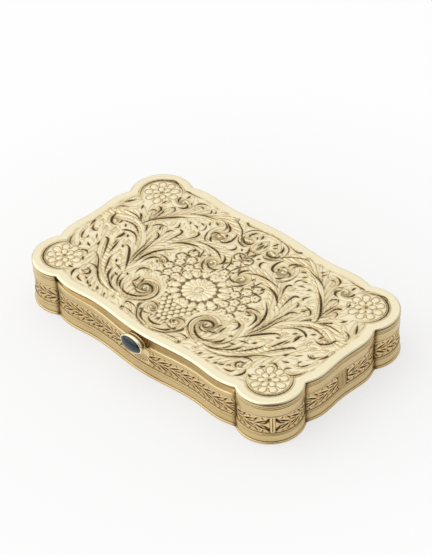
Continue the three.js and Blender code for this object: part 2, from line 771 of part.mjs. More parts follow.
// Rivets through block and leaf, domed heads towards the lining
function makeRivets() {
  const front = -moveIn(longSide, wallIn)(Math.abs(rivetX)) + SLIDE_GAP;
  const back = leafY + LEAF_THICK + SLIDE_GAP + BLOCK_CHEEK;
  const head = 0.25;
  return rivetLevels.map((z, i) => {
    const profile = [
      [0, front],
      [RIVET_R, front],
      [RIVET_R, back + SEAM],
      [RIVET_HEAD_R, back + SEAM],
      [RIVET_HEAD_R * 0.8, back + head * 0.7],
      [0, back + head],
    ].map(([r, y]) => new THREE.Vector2(r, y));
    const rivet = piece(`spring_rivet_${i + 1}`, new THREE.LatheGeometry(profile, ROUND_STEPS / 2), STEEL);
    rivet.position.set(rivetX, 0, z);
    return rivet;
  });
}

// Leaf spring from the block past the stem to the nose, tapering to its tip
function makeCatchSpring() {
  const x0 = rivetX - BLOCK_W / 2 + 0.5;
  const x1 = PUSH_X + LEAF_PAST_STEM;
  const tip = 0.8;
  const outlineShape = new THREE.Shape([
    new THREE.Vector2(x0, stemZ - LEAF_HALF_H),
    new THREE.Vector2(x1, stemZ - LEAF_HALF_H * tip),
    new THREE.Vector2(x1, stemZ + LEAF_HALF_H * tip),
    new THREE.Vector2(x0, stemZ + LEAF_HALF_H),
  ]);
  const leaf = new THREE.ExtrudeGeometry(outlineShape, { depth: LEAF_THICK, bevelEnabled: false });
  leaf.rotateX(Math.PI / 2).translate(0, leafY + LEAF_THICK, 0);
  const holes = rivetLevels.map((z) => rivetRod(RIVET_R + PIN_GAP, leafY - 1, leafY + 1, z));
  return piece('catch_spring', cut(leaf, ...holes), STEEL);
}

// Hook on the leaf, sloped above so that the closing lid pushes it back
function makeCatchNose() {
  const hookTop = lidZ - KEEPER_DROP + LEDGE_THICK;
  const tipY = keeperY() + KEEPER_THICK + LEDGE_REACH + NOSE_GAP;
  const z0 = hookTop + NOSE_RISE;
  const root = leafY - SEAM;
  const profile = [
    [root, z0 - NOSE_RISE],
    [tipY, z0],
    [tipY, z0 + NOSE_H * 0.3],
    [root - 0.05, z0 + NOSE_H],
    [root, z0 + NOSE_H],
  ];
  return piece('catch_nose', barAlongX(profile, hookX - NOSE_HALF_W, hookX + NOSE_HALF_W), STEEL);
}

const collarHole = collarOpening(SEAM);
const barrelHollow = hingeRod(channelR, hingeLen + 2 * KNUCKLE_GAP);
const knuckles = makeKnuckles();

const body = new THREE.Group();
body.add(
  makeBasePlate(),
  makeBaseRim(),
  makeWallBand(collarHole),
  makeTopRim(collarHole, barrelHollow),
  makeBodyLining(),
  makeCatchCover(),
  makeBodyBearer(),
  ...knuckles.body,
  makeHingePin(),
  makePushCollar(),
  makeSpringBlock(),
  ...makeRivets(),
);

const lid = new THREE.Group();
lid.add(
  makeLidPlate(),
  makeLidRim(barrelHollow),
  makeThumbRail(collarOpening(BEZEL_GAP)),
  makeLidLining(),
  makeLidBearer(),
  ...knuckles.lid,
  makeKeeper(),
);

const pushPiece = new THREE.Group();
pushPiece.add(makePushCollet(), makeCabochon(), makePushStem());

const catchGroup = new THREE.Group();
catchGroup.add(makeCatchSpring(), makeCatchNose());

const snuffBox = new THREE.Group();
snuffBox.add(body, lid, pushPiece, catchGroup);

export default snuffBox;
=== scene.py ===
"""Looks of a gold snuff box: chased lid, laurel side band, push piece with a cabochon, studio and camera.

Sizes are millimetres with +Z up, +X along the long sides, -Y at the push piece and +Y at the hinge,
as in the CAD. Meshes are turned into metres as they are made.
"""
import functools
import itertools
import logging
import math
from dataclasses import dataclass
from enum import Enum
from typing import Callable, Sequence

import bmesh
import bpy
import numpy as np
from bpy.types import NodeSocket, Object
from mathutils import Matrix, Vector
from numpy import ndarray as Array


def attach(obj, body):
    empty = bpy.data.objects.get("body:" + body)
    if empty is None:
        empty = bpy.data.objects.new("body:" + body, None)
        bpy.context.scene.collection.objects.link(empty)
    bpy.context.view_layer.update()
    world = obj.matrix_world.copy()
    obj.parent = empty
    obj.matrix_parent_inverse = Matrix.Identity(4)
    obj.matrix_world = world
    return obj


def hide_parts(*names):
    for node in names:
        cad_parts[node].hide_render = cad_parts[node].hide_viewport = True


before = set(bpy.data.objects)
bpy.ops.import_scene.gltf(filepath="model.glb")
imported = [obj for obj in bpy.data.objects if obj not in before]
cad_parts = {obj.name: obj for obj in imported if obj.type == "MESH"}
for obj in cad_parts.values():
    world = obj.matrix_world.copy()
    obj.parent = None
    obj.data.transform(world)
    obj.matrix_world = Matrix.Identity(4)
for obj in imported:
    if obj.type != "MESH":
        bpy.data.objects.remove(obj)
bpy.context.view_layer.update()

MM = 0.001
CREASE = 38.0
# The thumb groove's profile sets in GROOVE_END before its end, over GROOVE_TURN. Painted shade in the notches starts
# at
# NOTCH_SHADE, fades over NOTCH_REACH and leaves the uppermost UNSHADED_TOP bare.
GROOVE_END, GROOVE_TURN = 0.3, 0.5
NOTCH_SHADE, NOTCH_REACH, UNSHADED_TOP = 0.9, 0.8, 0.3
log = logging.getLogger("snuff_box")
Pair = tuple[float, float]
Triple = tuple[float, float, float]
Points = Sequence[Pair]
Profile = Sequence[tuple[float, ...]]


class Body(str, Enum):
    """Moving bodies of the CAD."""

    BODY = "body"
    LID = "lid"
    PUSH = "push_piece"
    CATCH = "catch"


class Slot(str, Enum):
    """Material slots of the record."""

    GOLD = "gold"
    PALE = "pale_gold"
    INNER = "inner_gold"
    PIN = "pin_steel"
    SPRING = "spring_steel"
    STONE = "cabochon_stone"


class Garland(Enum):
    """Where the leaves of a length of the side band meet."""

    WOUND_TIE = 1
    RAYS = 2
    LOBE_TIE = 3


# -------- sizes


@dataclass(frozen=True)
class Levels:
    """Heights above the table and depths into the outline, as in the CAD."""

    band: float = 2.6
    top_rim: float = 8.6
    split: float = 10.8
    lid: float = 10.9
    plate: float = 12.35
    top: float = 12.8
    wall_in: float = 1.1
    wall_face: float = 0.1
    field_face: float = 0.3
    floor: float = 0.7
    seam: float = 0.02


Z = Levels()


@dataclass(frozen=True)
class Outline:
    """Plan of the box: four corner lobes joined by serpentine sides."""

    half_length: float = 43.25
    half_width: float = 25.65
    lobe: float = 8.45
    flank_x: float = 5.4
    flank_y: float = 5.0
    hollow_x: float = 16.5
    notch_in_x: float = 4.4
    notch_in_y: float = 4.8
    groove_over: float = 0.1
    long_crown: float = 0.2
    long_hollow: float = -0.9
    long_swell: float = -0.3
    short_crown: float = -0.65
    short_swell: float = -0.25
    lobe_blend: float = 0.3
    halvings: int = 50
    long_steps: int = 60
    lobe_steps: int = 56
    short_steps: int = 24

    @property
    def lobe_x(self) -> float:
        """X of the middle of a corner lobe."""
        return self.half_length - self.lobe

    @property
    def lobe_y(self) -> float:
        """Y of the middle of a corner lobe."""
        return self.half_width - self.lobe

    @property
    def notch_x(self) -> float:
        """X where a long side meets the lobe."""
        return self.lobe_x - self.notch_in_x

    @property
    def notch_y(self) -> float:
        """Y where a short side meets the lobe."""
        return self.lobe_y - self.notch_in_y

    @property
    def groove_half(self) -> float:
        """Half length of the thumb groove."""
        return self.notch_x + self.groove_over

    def long_side(self, x: Array) -> Array:
        """Half width of the box along its long side.

        Args:
            x: places along the side, from its middle.

        Returns:
            Half widths at those places.
        """
        x, bend, swell_x = np.abs(x), self.hollow_x, self.notch_x - self.flank_x
        crown, hollow, swell = (self.half_width + out for out in (self.long_crown, self.long_hollow, self.long_swell))
        notch = self.lobe_y + math.sqrt(self.lobe**2 - (self.notch_x - self.lobe_x) ** 2)
        inner = crown + (hollow - crown) * ease(x / bend)
        middle = hollow + (swell - hollow) * ease((x - bend) / (swell_x - bend))
        outer = swell + (notch - swell) * (1 - np.cos(np.pi / 2 * (x - swell_x) / self.flank_x))
        return np.where(x < bend, inner, np.where(x < swell_x, middle, outer))

    def short_side(self, y: Array) -> Array:
        """Half length of the box along its short side.

        Args:
            y: places along the side, from its middle.

        Returns:
            Half lengths at those places.
        """
        y, swell_y = np.abs(y), self.notch_y - self.flank_y
        crown, swell = self.half_length + self.short_crown, self.half_length + self.short_swell
        notch = self.lobe_x + math.sqrt(self.lobe**2 - (self.notch_y - self.lobe_y) ** 2)
        inner = crown + (swell - crown) * ease(y / swell_y)
        outer = swell + (notch - swell) * (1 - np.cos(np.pi / 2 * (y - swell_y) / self.flank_y))
        return np.where(y < swell_y, inner, outer)

    def sides(self, inset: float) -> list[Callable[[Array], Array]]:
        """The long and the short side, moved in square to themselves.

        Args:
            inset: how far in from the outline.

        Returns:
            The two curves.
        """
        def moved(side: Callable[[Array], Array], u: Array) -> Array:
            """One side moved in, by its slope at each place."""
            v, h = np.abs(u), 0.01
            return side(u) - inset * np.hypot(1, (side(v + h) - side(np.abs(v - h))) / (2 * h))

        return [functools.partial(moved, side) for side in (self.long_side, self.short_side)]

    @functools.lru_cache
    def corners(self, inset: float) -> Pair:
        """Where the moved sides meet the moved lobe.

        Args:
            inset: how far in from the outline.

        Returns:
            X of the notch on the long side and Y of the notch on the short side.
        """
        (long, short), found = self.sides(inset), []
        for side, across, along, low in ((long, self.lobe_y, self.lobe_x, self.notch_x - self.flank_x),
                                         (short, self.lobe_x, self.lobe_y, self.notch_y - self.flank_y)):
            high = along
            for _ in range(self.halvings):
                u = (low + high) / 2
                lobe = across + math.sqrt(max(0.0, (self.lobe - inset) ** 2 - (u - along) ** 2))
                low, high = (u, high) if side(u) > lobe else (low, u)
            found.append((low + high) / 2)
        return found[0], found[1]

    def arc(self, inset: float, shares: Array) -> Array:
        """Points of the moved lobe.

        Args:
            inset: how far in from the outline.
            shares: places on the lobe, from 0 at its short side to 1 at its long side.

        Returns:
            The points.
        """
        (long, short), (nx, ny) = self.sides(inset), self.corners(inset)
        start = math.atan2(ny - self.lobe_y, short(ny) - self.lobe_x)
        a = start + (math.atan2(long(nx) - self.lobe_y, nx - self.lobe_x) - start) * shares
        return (self.lobe_x, self.lobe_y) + (self.lobe - inset) * np.stack([np.cos(a), np.sin(a)], 1)

    def loop(self, inset: float) -> Array:
        """The plan outline moved in, anticlockwise, always with the same count of points.

        Args:
            inset: how far in from the outline.

        Returns:
            Points as an array of two columns, the first point not repeated.
        """
        (long, short), (nx, ny) = self.sides(inset), self.corners(inset)
        y = ny * np.arange(self.short_steps) / self.short_steps
        x = nx * (1 - np.arange(self.long_steps) / self.long_steps)
        lobe = self.arc(inset, np.arange(self.lobe_steps) / self.lobe_steps)
        quarter = np.vstack([np.stack([short(y), y], 1), lobe, np.stack([x, long(x)], 1)])
        fold = np.vstack([quarter[1:], [[0.0, long(0.0)]]])[::-1]
        return np.vstack([quarter, fold * [-1, 1], quarter * [-1, -1], fold * [1, -1]])

    def lobe_share(self) -> Array:
        """How far each station of a loop belongs to a lobe.

        Returns:
            0 on the sides, 1 in the middle of a lobe.
        """
        t = np.arange(self.lobe_steps) / self.lobe_steps
        rise = smooth(np.clip(np.minimum(t, 1 - t) / self.lobe_blend, 0, 1))
        quarter = np.concatenate([np.zeros(self.short_steps), rise, np.zeros(self.long_steps)])
        fold = np.append(quarter[1:], 0.0)[::-1]
        return np.concatenate([quarter, fold, quarter, fold])

    def from_notch(self, plan: Array, inset: float) -> Array:
        """Distance of places in plan from the nearest notch.

        Args:
            plan: the places.
            inset: how far in the notches are taken.

        Returns:
            The distances.
        """
        (long, short), (nx, ny) = self.sides(inset), self.corners(inset)
        notches = (nx, float(long(nx))), (float(short(ny)), ny)
        return np.min([np.hypot(*(np.abs(plan) - notch).T) for notch in notches], axis=0)

    def holds(self, x: Array, y: Array, inset: float) -> Array:
        """Whether places lie inside the moved outline.

        Args:
            x: places along the box.
            y: places across the box.
            inset: how far in from the outline.

        Returns:
            True where a place is inside.
        """
        x, y = np.abs(x), np.abs(y)
        (long, short), (nx, ny) = self.sides(inset), self.corners(inset)
        on_lobe = np.hypot(x - self.lobe_x, y - self.lobe_y) <= self.lobe - inset
        return on_lobe | ((x <= nx) & (y <= long(x))) | ((y <= ny) & (x <= short(y)))


def ease(t: Array) -> Array:
    """Half a cosine, from 0 to 1 along t."""
    return (1 - np.cos(np.pi * t)) / 2


def smooth(t: Array) -> Array:
    """A soft step, from 0 to 1 along t."""
    return t * t * (3 - 2 * t)


PLAN = Outline()


# -------- meshes


def show(name: str, mesh: bpy.types.Mesh) -> Object:
    """Adds a mesh to the scene as an object at the origin.

    Args:
        name: name of the object.
        mesh: its mesh.

    Returns:
        The new object.
    """
    obj = bpy.data.objects.new(name, mesh)
    bpy.context.scene.collection.objects.link(obj)
    return obj


def crisp(mesh: bpy.types.Mesh, sharp: float = CREASE) -> None:
    """Smooth faces, with edges that turn by more degrees than sharp left crisp."""
    mesh.shade_smooth()
    mesh.set_sharp_from_angle(angle=math.radians(sharp))


def finish_mesh(name: str, bm: bmesh.types.BMesh, sharp: float = CREASE) -> Object:
    """Turns an edited mesh into a shown object with smooth faces and crisp edges.

    Args:
        name: name of the piece.
        bm: the edited mesh, freed here.
        sharp: edges that turn by more degrees than this stay crisp.

    Returns:
        The new object.
    """
    mesh = bpy.data.meshes.new(name)
    bm.to_mesh(mesh)
    bm.free()
    crisp(mesh, sharp)
    return show(name, mesh)


def skin(name: str, rows: Array, tone: Array, round_rows: bool = False, round_columns: bool = False) -> Object:
    """Lays a grid of faces over rows of points.

    Args:
        name: name of the piece.
        rows: points in millimetres, as rows, columns and three numbers.
        tone: how dark each point's metal is, 0 to 1, from patina and painted shade.
        round_rows: whether the last row joins the first.
        round_columns: whether the last column joins the first.

    Returns:
        The new object, closed at its ends.
    """
    if round_rows:
        rows, tone = np.concatenate([rows, rows[:1]]), np.concatenate([tone, tone[:1]])
    if round_columns:
        rows, tone = np.concatenate([rows, rows[:, :1]], 1), np.concatenate([tone, tone[:, :1]], 1)
    bm = bmesh.new()
    bmesh.ops.create_grid(bm, x_segments=rows.shape[1] - 1, y_segments=rows.shape[0] - 1, size=1)
    layer = bm.verts.layers.float.new("patina_and_shade")
    for vert, place, dark in zip(bm.verts, rows.reshape(-1, 3) * MM, tone.reshape(-1)):
        vert.co = place
        vert[layer] = dark
    bmesh.ops.remove_doubles(bm, verts=bm.verts[:], dist=1e-7)
    open_edges = [e for e in bm.edges if e.is_boundary]
    if open_edges:
        bmesh.ops.holes_fill(bm, edges=open_edges)
    bmesh.ops.recalc_face_normals(bm, faces=bm.faces[:])
    return finish_mesh(name, bm)


def sweep(profile: Profile, at: Callable[[float], Array]) -> tuple[Array, Array]:
    """Carries a profile along a path.

    Args:
        profile: points of inset, height and, if wanted, patina with painted shade.
        at: the path's points in plan, by inset.

    Returns:
        Points as rows, columns and three numbers, and the patina with painted shade at each.
    """
    rows = np.stack([np.column_stack(np.broadcast_arrays(*at(p[0]).T, p[1])) for p in profile], 1)
    return rows, np.tile([p[2] if len(p) > 2 else 0.0 for p in profile], (len(rows), 1))


def cut(obj: Object, *tools: Object) -> Object:
    """Cuts the tools out of a piece and throws them away.

    Args:
        obj: the piece.
        tools: closed meshes to take out.

    Returns:
        The piece.
    """
    for tool in tools:
        mod = obj.modifiers.new("cut", "BOOLEAN")
        mod.operation, mod.solver, mod.object = "DIFFERENCE", "EXACT", tool
        mesh = bpy.data.meshes.new_from_object(obj.evaluated_get(bpy.context.evaluated_depsgraph_get()))
        obj.modifiers.clear()
        obj.data = mesh
        mesh.name = obj.name
        bpy.data.objects.remove(tool)
    crisp(obj.data)
    return obj


def moulding(name: str, profile: Profile, keep: Callable[[Array], Array] | None = None,
             in_lobes: Callable[[float], float] | None = None,
             front: Callable[[Array], list[tuple]] | None = None) -> Object:
    """Takes a closed profile round the outline.

    Args:
        name: name of the piece.
        profile: points of inset, height and, if wanted, patina with painted shade.
        keep: which stations of the unmoved loop are kept; without it the moulding goes right round.
        in_lobes: the inset that a point has in the middle of a lobe, where it differs.
        front: gives, by x, the profile that it has along the thumb groove, with as many points.

    Returns:
        The new object.
    """
    plain, share = PLAN.loop(0.0), PLAN.lobe_share()[:, None]
    used = np.arange(len(plain))
    if keep is not None:
        kept = keep(plain)
        order = (used + np.argmax(kept & ~np.roll(kept, 1))) % len(plain)
        used = order[kept[order]]

    def at(inset: float) -> Array:
        """The kept stations, moved in."""
        here = PLAN.loop(inset)
        return (here if in_lobes is None else here * (1 - share) + PLAN.loop(in_lobes(inset)) * share)[used]

    rows, tones = sweep(profile, at)
    if front is not None:
        from_end = np.clip((PLAN.groove_half - GROOVE_END - np.abs(plain[used, :1])) / GROOVE_TURN, 0, 1)
        turned = from_end * (plain[used, 1:] < -PLAN.lobe_y)
        front_rows, front_tones = sweep(front(plain[used, 0]), at)
        rows += (front_rows - rows) * turned[..., None]
        tones += (front_tones - tones) * turned
    # Painted shade round the notches, where the lobes meet the sides, kept off the lid's top.
    below_lid = np.array([p[1] for p in profile]) < Z.top - UNSHADED_TOP
    away = PLAN.from_notch(PLAN.loop(Z.wall_face)[used], Z.wall_face)[:, None]
    darkening = NOTCH_SHADE * np.exp(-((away / NOTCH_REACH) ** 2)) * below_lid
    return skin(name, rows, np.maximum(tones, darkening), keep is None, True)


def carried(node: str, sharp: float = 30.0, edge: float = 0.0) -> Object:
    """A merged, smooth copy of a CAD piece, with softened edges if wanted.

    Args:
        node: name of the CAD node.
        sharp: edges that turn by more degrees than this stay crisp.
        edge: width of the softened edges, in millimetres.

    Returns:
        The new object.
    """
    bm = bmesh.new()
    bm.from_mesh(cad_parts[node].data)
    bmesh.ops.remove_doubles(bm, verts=bm.verts[:], dist=2e-6)
    bmesh.ops.dissolve_limit(bm, angle_limit=math.radians(0.4), verts=bm.verts[:], edges=bm.edges[:])
    if edge:
        turning = [e for e in bm.edges if len(e.link_faces) == 2 and e.calc_face_angle(0) > math.radians(sharp)]
        bmesh.ops.bevel(bm, geom=turning, offset=edge * MM, affect="EDGES", segments=2, profile=0.5,
                        material=-1, clamp_overlap=True)
    return finish_mesh(f"{node}_finished", bm, sharp)


# -------- shading


class Wiring:
    """Adds shader nodes to a tree and joins them in a line of plain calls."""

    def __init__(self, tree: bpy.types.NodeTree) -> None:
        """Takes the node tree to work in."""
        self.tree = tree

    def add(self, kind: str, links: dict[str | int, object] | None = None, **settings: object) -> bpy.types.Node:
        """Adds a node.

        Args:
            kind: Blender's name for the node, without ShaderNode at its start.
            links: inputs by name or number, each a socket or a value.
            settings: the node's own settings.

        Returns:
            The node.
        """
        node = self.tree.nodes.new(kind if kind.startswith("NodeGroup") else f"ShaderNode{kind}")
        for key, value in settings.items():
            setattr(node, key, value)
        for key, value in (links or {}).items():
            if isinstance(value, NodeSocket):
                self.tree.links.new(value, node.inputs[key])
            else:
                node.inputs[key].default_value = value
        return node

    def sum(self, kind: str, a: object, b: object, clamp: bool = False) -> NodeSocket:
        """One sum, such as MULTIPLY, on two values or sockets; clamp keeps it between 0 and 1."""
        return self.add("Math", {0: a, 1: b}, operation=kind, use_clamp=clamp).outputs[0]

    def mix(self, share: object, a: object, b: object, blend: str = "MIX") -> NodeSocket:
        """Mixes a share of colour b into colour a."""
        return self.add("Mix", {0: share, 6: a, 7: b}, data_type="RGBA", blend_type=blend).outputs[2]

    def noise(self, place: NodeSocket, scale: float, detail: float, rough: float = 0.5,
              warp: float = 0.0) -> NodeSocket:
        """A cloudy pattern of the given fineness."""
        return self.add("TexNoise", {"Vector": place, "Scale": scale, "Detail": detail, "Roughness": rough,
                                     "Distortion": warp}).outputs[0]

    def spread(self, value: NodeSocket, low: float, high: float, at_low: float = 0.0, at_high: float = 1.0,
               kind: str = "SMOOTHSTEP") -> NodeSocket:
        """Takes a value that runs from low to high to one that runs from at_low to at_high."""
        return self.add("MapRange", {"Value": value, 1: low, 2: high, 3: at_low, 4: at_high},
                        interpolation_type=kind).outputs[0]


def blank(owner: bpy.types.Material | bpy.types.World) -> Wiring:
    """Turns on the nodes of a material or world and clears them.

    Args:
        owner: the material or world.

    Returns:
        Its wiring.
    """
    owner.use_nodes = True
    owner.node_tree.nodes.clear()
    return Wiring(owner.node_tree)


def wear_and_shade_group() -> bpy.types.NodeTree:
    """The shared wear of old metal with its painted shade: tint, tarnish, darkening, roughness and a height for the
    bump.

    Returns:
        The group, made once.
    """
    if "metal_wear_and_shade" in bpy.data.node_groups:
        return bpy.data.node_groups["metal_wear_and_shade"]
    group = bpy.data.node_groups.new("metal_wear_and_shade", "ShaderNodeTree")
    for way, kind, labels in (("INPUT", "Color", ("Bright", "Dark", "Tint")), ("OUTPUT", "Color", ("Color",)),
                              ("INPUT", "Float", ("Roughness", "Tarnish", "Scratches")),
                              ("OUTPUT", "Float", ("Roughness", "Height"))):
        for label in labels:
            group.interface.new_socket(label, in_out=way, socket_type=f"NodeSocket{kind}")
    w = Wiring(group)
    given, place = w.add("NodeGroupInput").outputs, w.add("TexCoord").outputs["Object"]
    stretch = w.add("Mapping", {"Vector": place, "Rotation": (0.35, 0.2, 0.6), "Scale": (700.0, 9000.0, 4200.0)})
    hair = w.spread(w.noise(stretch.outputs[0], 1.0, 2.0), 0.62, 0.74, kind="LINEAR")
    lines = w.sum("MULTIPLY", hair, given["Scratches"])
    cloud = w.spread(w.noise(place, 140.0, 4.0, 0.6), 0.42, 0.72, kind="LINEAR")
    blotch = w.sum("MULTIPLY", cloud, given["Tarnish"])
    fine = w.noise(place, 1900.0, 5.0, 0.65)
    grit = w.sum("MULTIPLY", w.sum("SUBTRACT", fine, 0.5), 0.9)
    # The attribute holds the metal's patina and its painted shade; it darkens the colour below.
    patina_and_shade = w.add("Attribute", attribute_name="patina_and_shade").outputs["Fac"]
    darkening = w.sum("MULTIPLY", patina_and_shade, w.sum("ADD", grit, 1.0), clamp=True)
    tone = w.mix(blotch, given["Bright"], given["Tint"])
    # Painted reflection: the half-dark tone turns warmer, as gold does where it reflects itself, before it reaches the
    # dark colour.
    warm = w.mix(1.0, tone, (0.76, 0.68, 0.56, 1.0), "MULTIPLY")
    tone = w.mix(w.sum("MULTIPLY", darkening, 2.0, clamp=True), tone, warm)
    deep = w.sum("SUBTRACT", w.sum("MULTIPLY", darkening, 2.0), 1.0, clamp=True)
    rough = w.sum("ADD", given["Roughness"], w.sum("MULTIPLY", darkening, 0.35))
    rough = w.sum("ADD", rough, w.sum("MULTIPLY", blotch, 0.12))
    rough = w.sum("ADD", rough, w.sum("MULTIPLY", grit, 0.1), clamp=True)
    height = w.sum("SUBTRACT", w.sum("MULTIPLY", fine, 0.35), w.sum("MULTIPLY", lines, 0.8))
    w.add("NodeGroupOutput", {"Color": w.mix(deep, tone, given["Dark"]), "Roughness": rough, "Height": height})
    return group


@dataclass(frozen=True)
class Finish:
    """A named finish in one of the record's slots."""

    name: str
    slot: Slot

    def surface(self, w: Wiring) -> NodeSocket:
        """The finish's shader, wired up in a material."""
        raise NotImplementedError

    def material(self) -> bpy.types.Material:
        """The finish as a material.

        Returns:
            The material, made once.
        """
        made = bpy.data.materials.get(self.name)
        if not made:
            made = bpy.data.materials.new(self.name)
            w = blank(made)
            w.add("OutputMaterial", {"Surface": self.surface(w)})
        return made


@dataclass(frozen=True)
class Metal(Finish):
    """A metal finish: colours as linear light, and how worn it is."""

    bright: Triple
    tint: Triple
    dark: Triple
    roughness: float = 0.3
    tarnish: float = 0.3
    scratches: float = 0.35
    grain: float = 0.02

    def surface(self, w: Wiring) -> NodeSocket:
        """Worn metal with a fine grain, darkened by patina and painted shade, wired up in a material.

        Args:
            w: the material's wiring.

        Returns:
            The shader's socket.
        """
        wear = w.add("Group", {"Bright": (*self.bright, 1.0), "Tint": (*self.tint, 1.0), "Dark": (*self.dark, 1.0),
                               "Roughness": self.roughness, "Tarnish": self.tarnish, "Scratches": self.scratches},
                     node_tree=wear_and_shade_group()).outputs
        bump = w.add("Bump", {"Height": wear["Height"], "Strength": 0.5, "Distance": self.grain * MM})
        return w.add("BsdfPrincipled", {"Base Color": wear["Color"], "Roughness": wear["Roughness"],
                                        "Normal": bump.outputs[0], "Metallic": 1.0}).outputs[0]


@dataclass(frozen=True)
class Stone(Finish):
    """A polished, nearly opaque stone with faint veins and a clear coat."""

    deep: Triple
    light: Triple

    def surface(self, w: Wiring) -> NodeSocket:
        """Veined stone under a clear coat, wired up in a material.

        Args:
            w: the material's wiring.

        Returns:
            The shader's socket.
        """
        place = w.add("TexCoord").outputs["Object"]
        vein = w.spread(w.noise(place, 420.0, 6.0, warp=1.6), 0.35, 0.75, kind="LINEAR")
        colour = w.mix(vein, (*self.deep, 1.0), (*self.light, 1.0))
        bump = w.add("Bump", {"Height": w.noise(place, 5200.0, 3.0), "Strength": 0.12, "Distance": 0.01 * MM})
        return w.add("BsdfPrincipled", {"Base Color": colour, "Roughness": 0.16, "IOR": 1.5, "Coat Weight": 0.3,
                                        "Coat Roughness": 0.04, "Normal": bump.outputs[0]}).outputs[0]


LID_GOLD = Metal("chased_pale_gold", Slot.PALE, bright=(0.96, 0.87, 0.615), tint=(0.91, 0.78, 0.5),
                 dark=(0.09, 0.052, 0.015), roughness=0.33, tarnish=0.35)
# Painted shade: a darker, warmer copy of the box's gold, for the side walls and the parts that share their finish.
SHADED_WALL_GOLD = Metal("shaded_wall_gold", Slot.GOLD, bright=(0.73, 0.57, 0.3), tint=(0.6, 0.44, 0.2),
                  dark=(0.06, 0.035, 0.012), roughness=0.24, tarnish=0.5)
CUP_GOLD = Metal("polished_cup_gold", Slot.GOLD, bright=(0.94, 0.86, 0.61), tint=(0.92, 0.81, 0.53),
                 dark=(0.2, 0.13, 0.045), roughness=0.26)
# Painted shade: a darker, warmer copy of the box's gold, for the laurel band.
SHADED_LAUREL_GOLD = Metal("shaded_laurel_gold", Slot.GOLD, bright=(0.95, 0.76, 0.44), tint=(0.8, 0.6, 0.3),
                    dark=(0.05, 0.03, 0.01), roughness=0.36, tarnish=0.45)
INNER_GOLD = Metal("inside_gold", Slot.INNER, bright=(0.9, 0.76, 0.46), tint=(0.82, 0.64, 0.34),
                   dark=(0.1, 0.06, 0.02), roughness=0.24, tarnish=0.25, scratches=0.5)
HINGE_GOLD = Metal("hinge_gold", Slot.GOLD, bright=(0.84, 0.69, 0.41), tint=(0.74, 0.56, 0.3),
                   dark=(0.06, 0.036, 0.012), roughness=0.33, tarnish=0.5, scratches=0.5)
PIN_STEEL = Metal("pin_steel_worn", Slot.PIN, bright=(0.56, 0.56, 0.55), tint=(0.42, 0.38, 0.32),
                  dark=(0.05, 0.04, 0.03), roughness=0.34, tarnish=0.6, scratches=0.6)
SPRING_STEEL = Metal("spring_steel_blued", Slot.SPRING, bright=(0.3, 0.33, 0.4), tint=(0.2, 0.2, 0.24),
                     dark=(0.03, 0.03, 0.03), tarnish=0.6, scratches=0.6)
STONE = Stone("blue_green_stone", Slot.STONE, deep=(0.004, 0.011, 0.015), light=(0.018, 0.045, 0.055))


def dress(obj: Object, finish: Finish, body: Body, *nodes: str) -> None:
    """Gives a piece its finish, the body it rides on and the CAD nodes it stands for.

    Args:
        obj: the piece.
        finish: its finish.
        body: the CAD body it moves with.
        nodes: CAD nodes it replaces.
    """
    obj.data.materials.clear()
    obj.data.materials.append(finish.material())
    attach(obj, body.value)
    if nodes:
        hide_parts(*nodes)
    log.info("%s: %d faces, moves with %s", obj.name, len(obj.data.polygons), body.value)


# -------- chasing


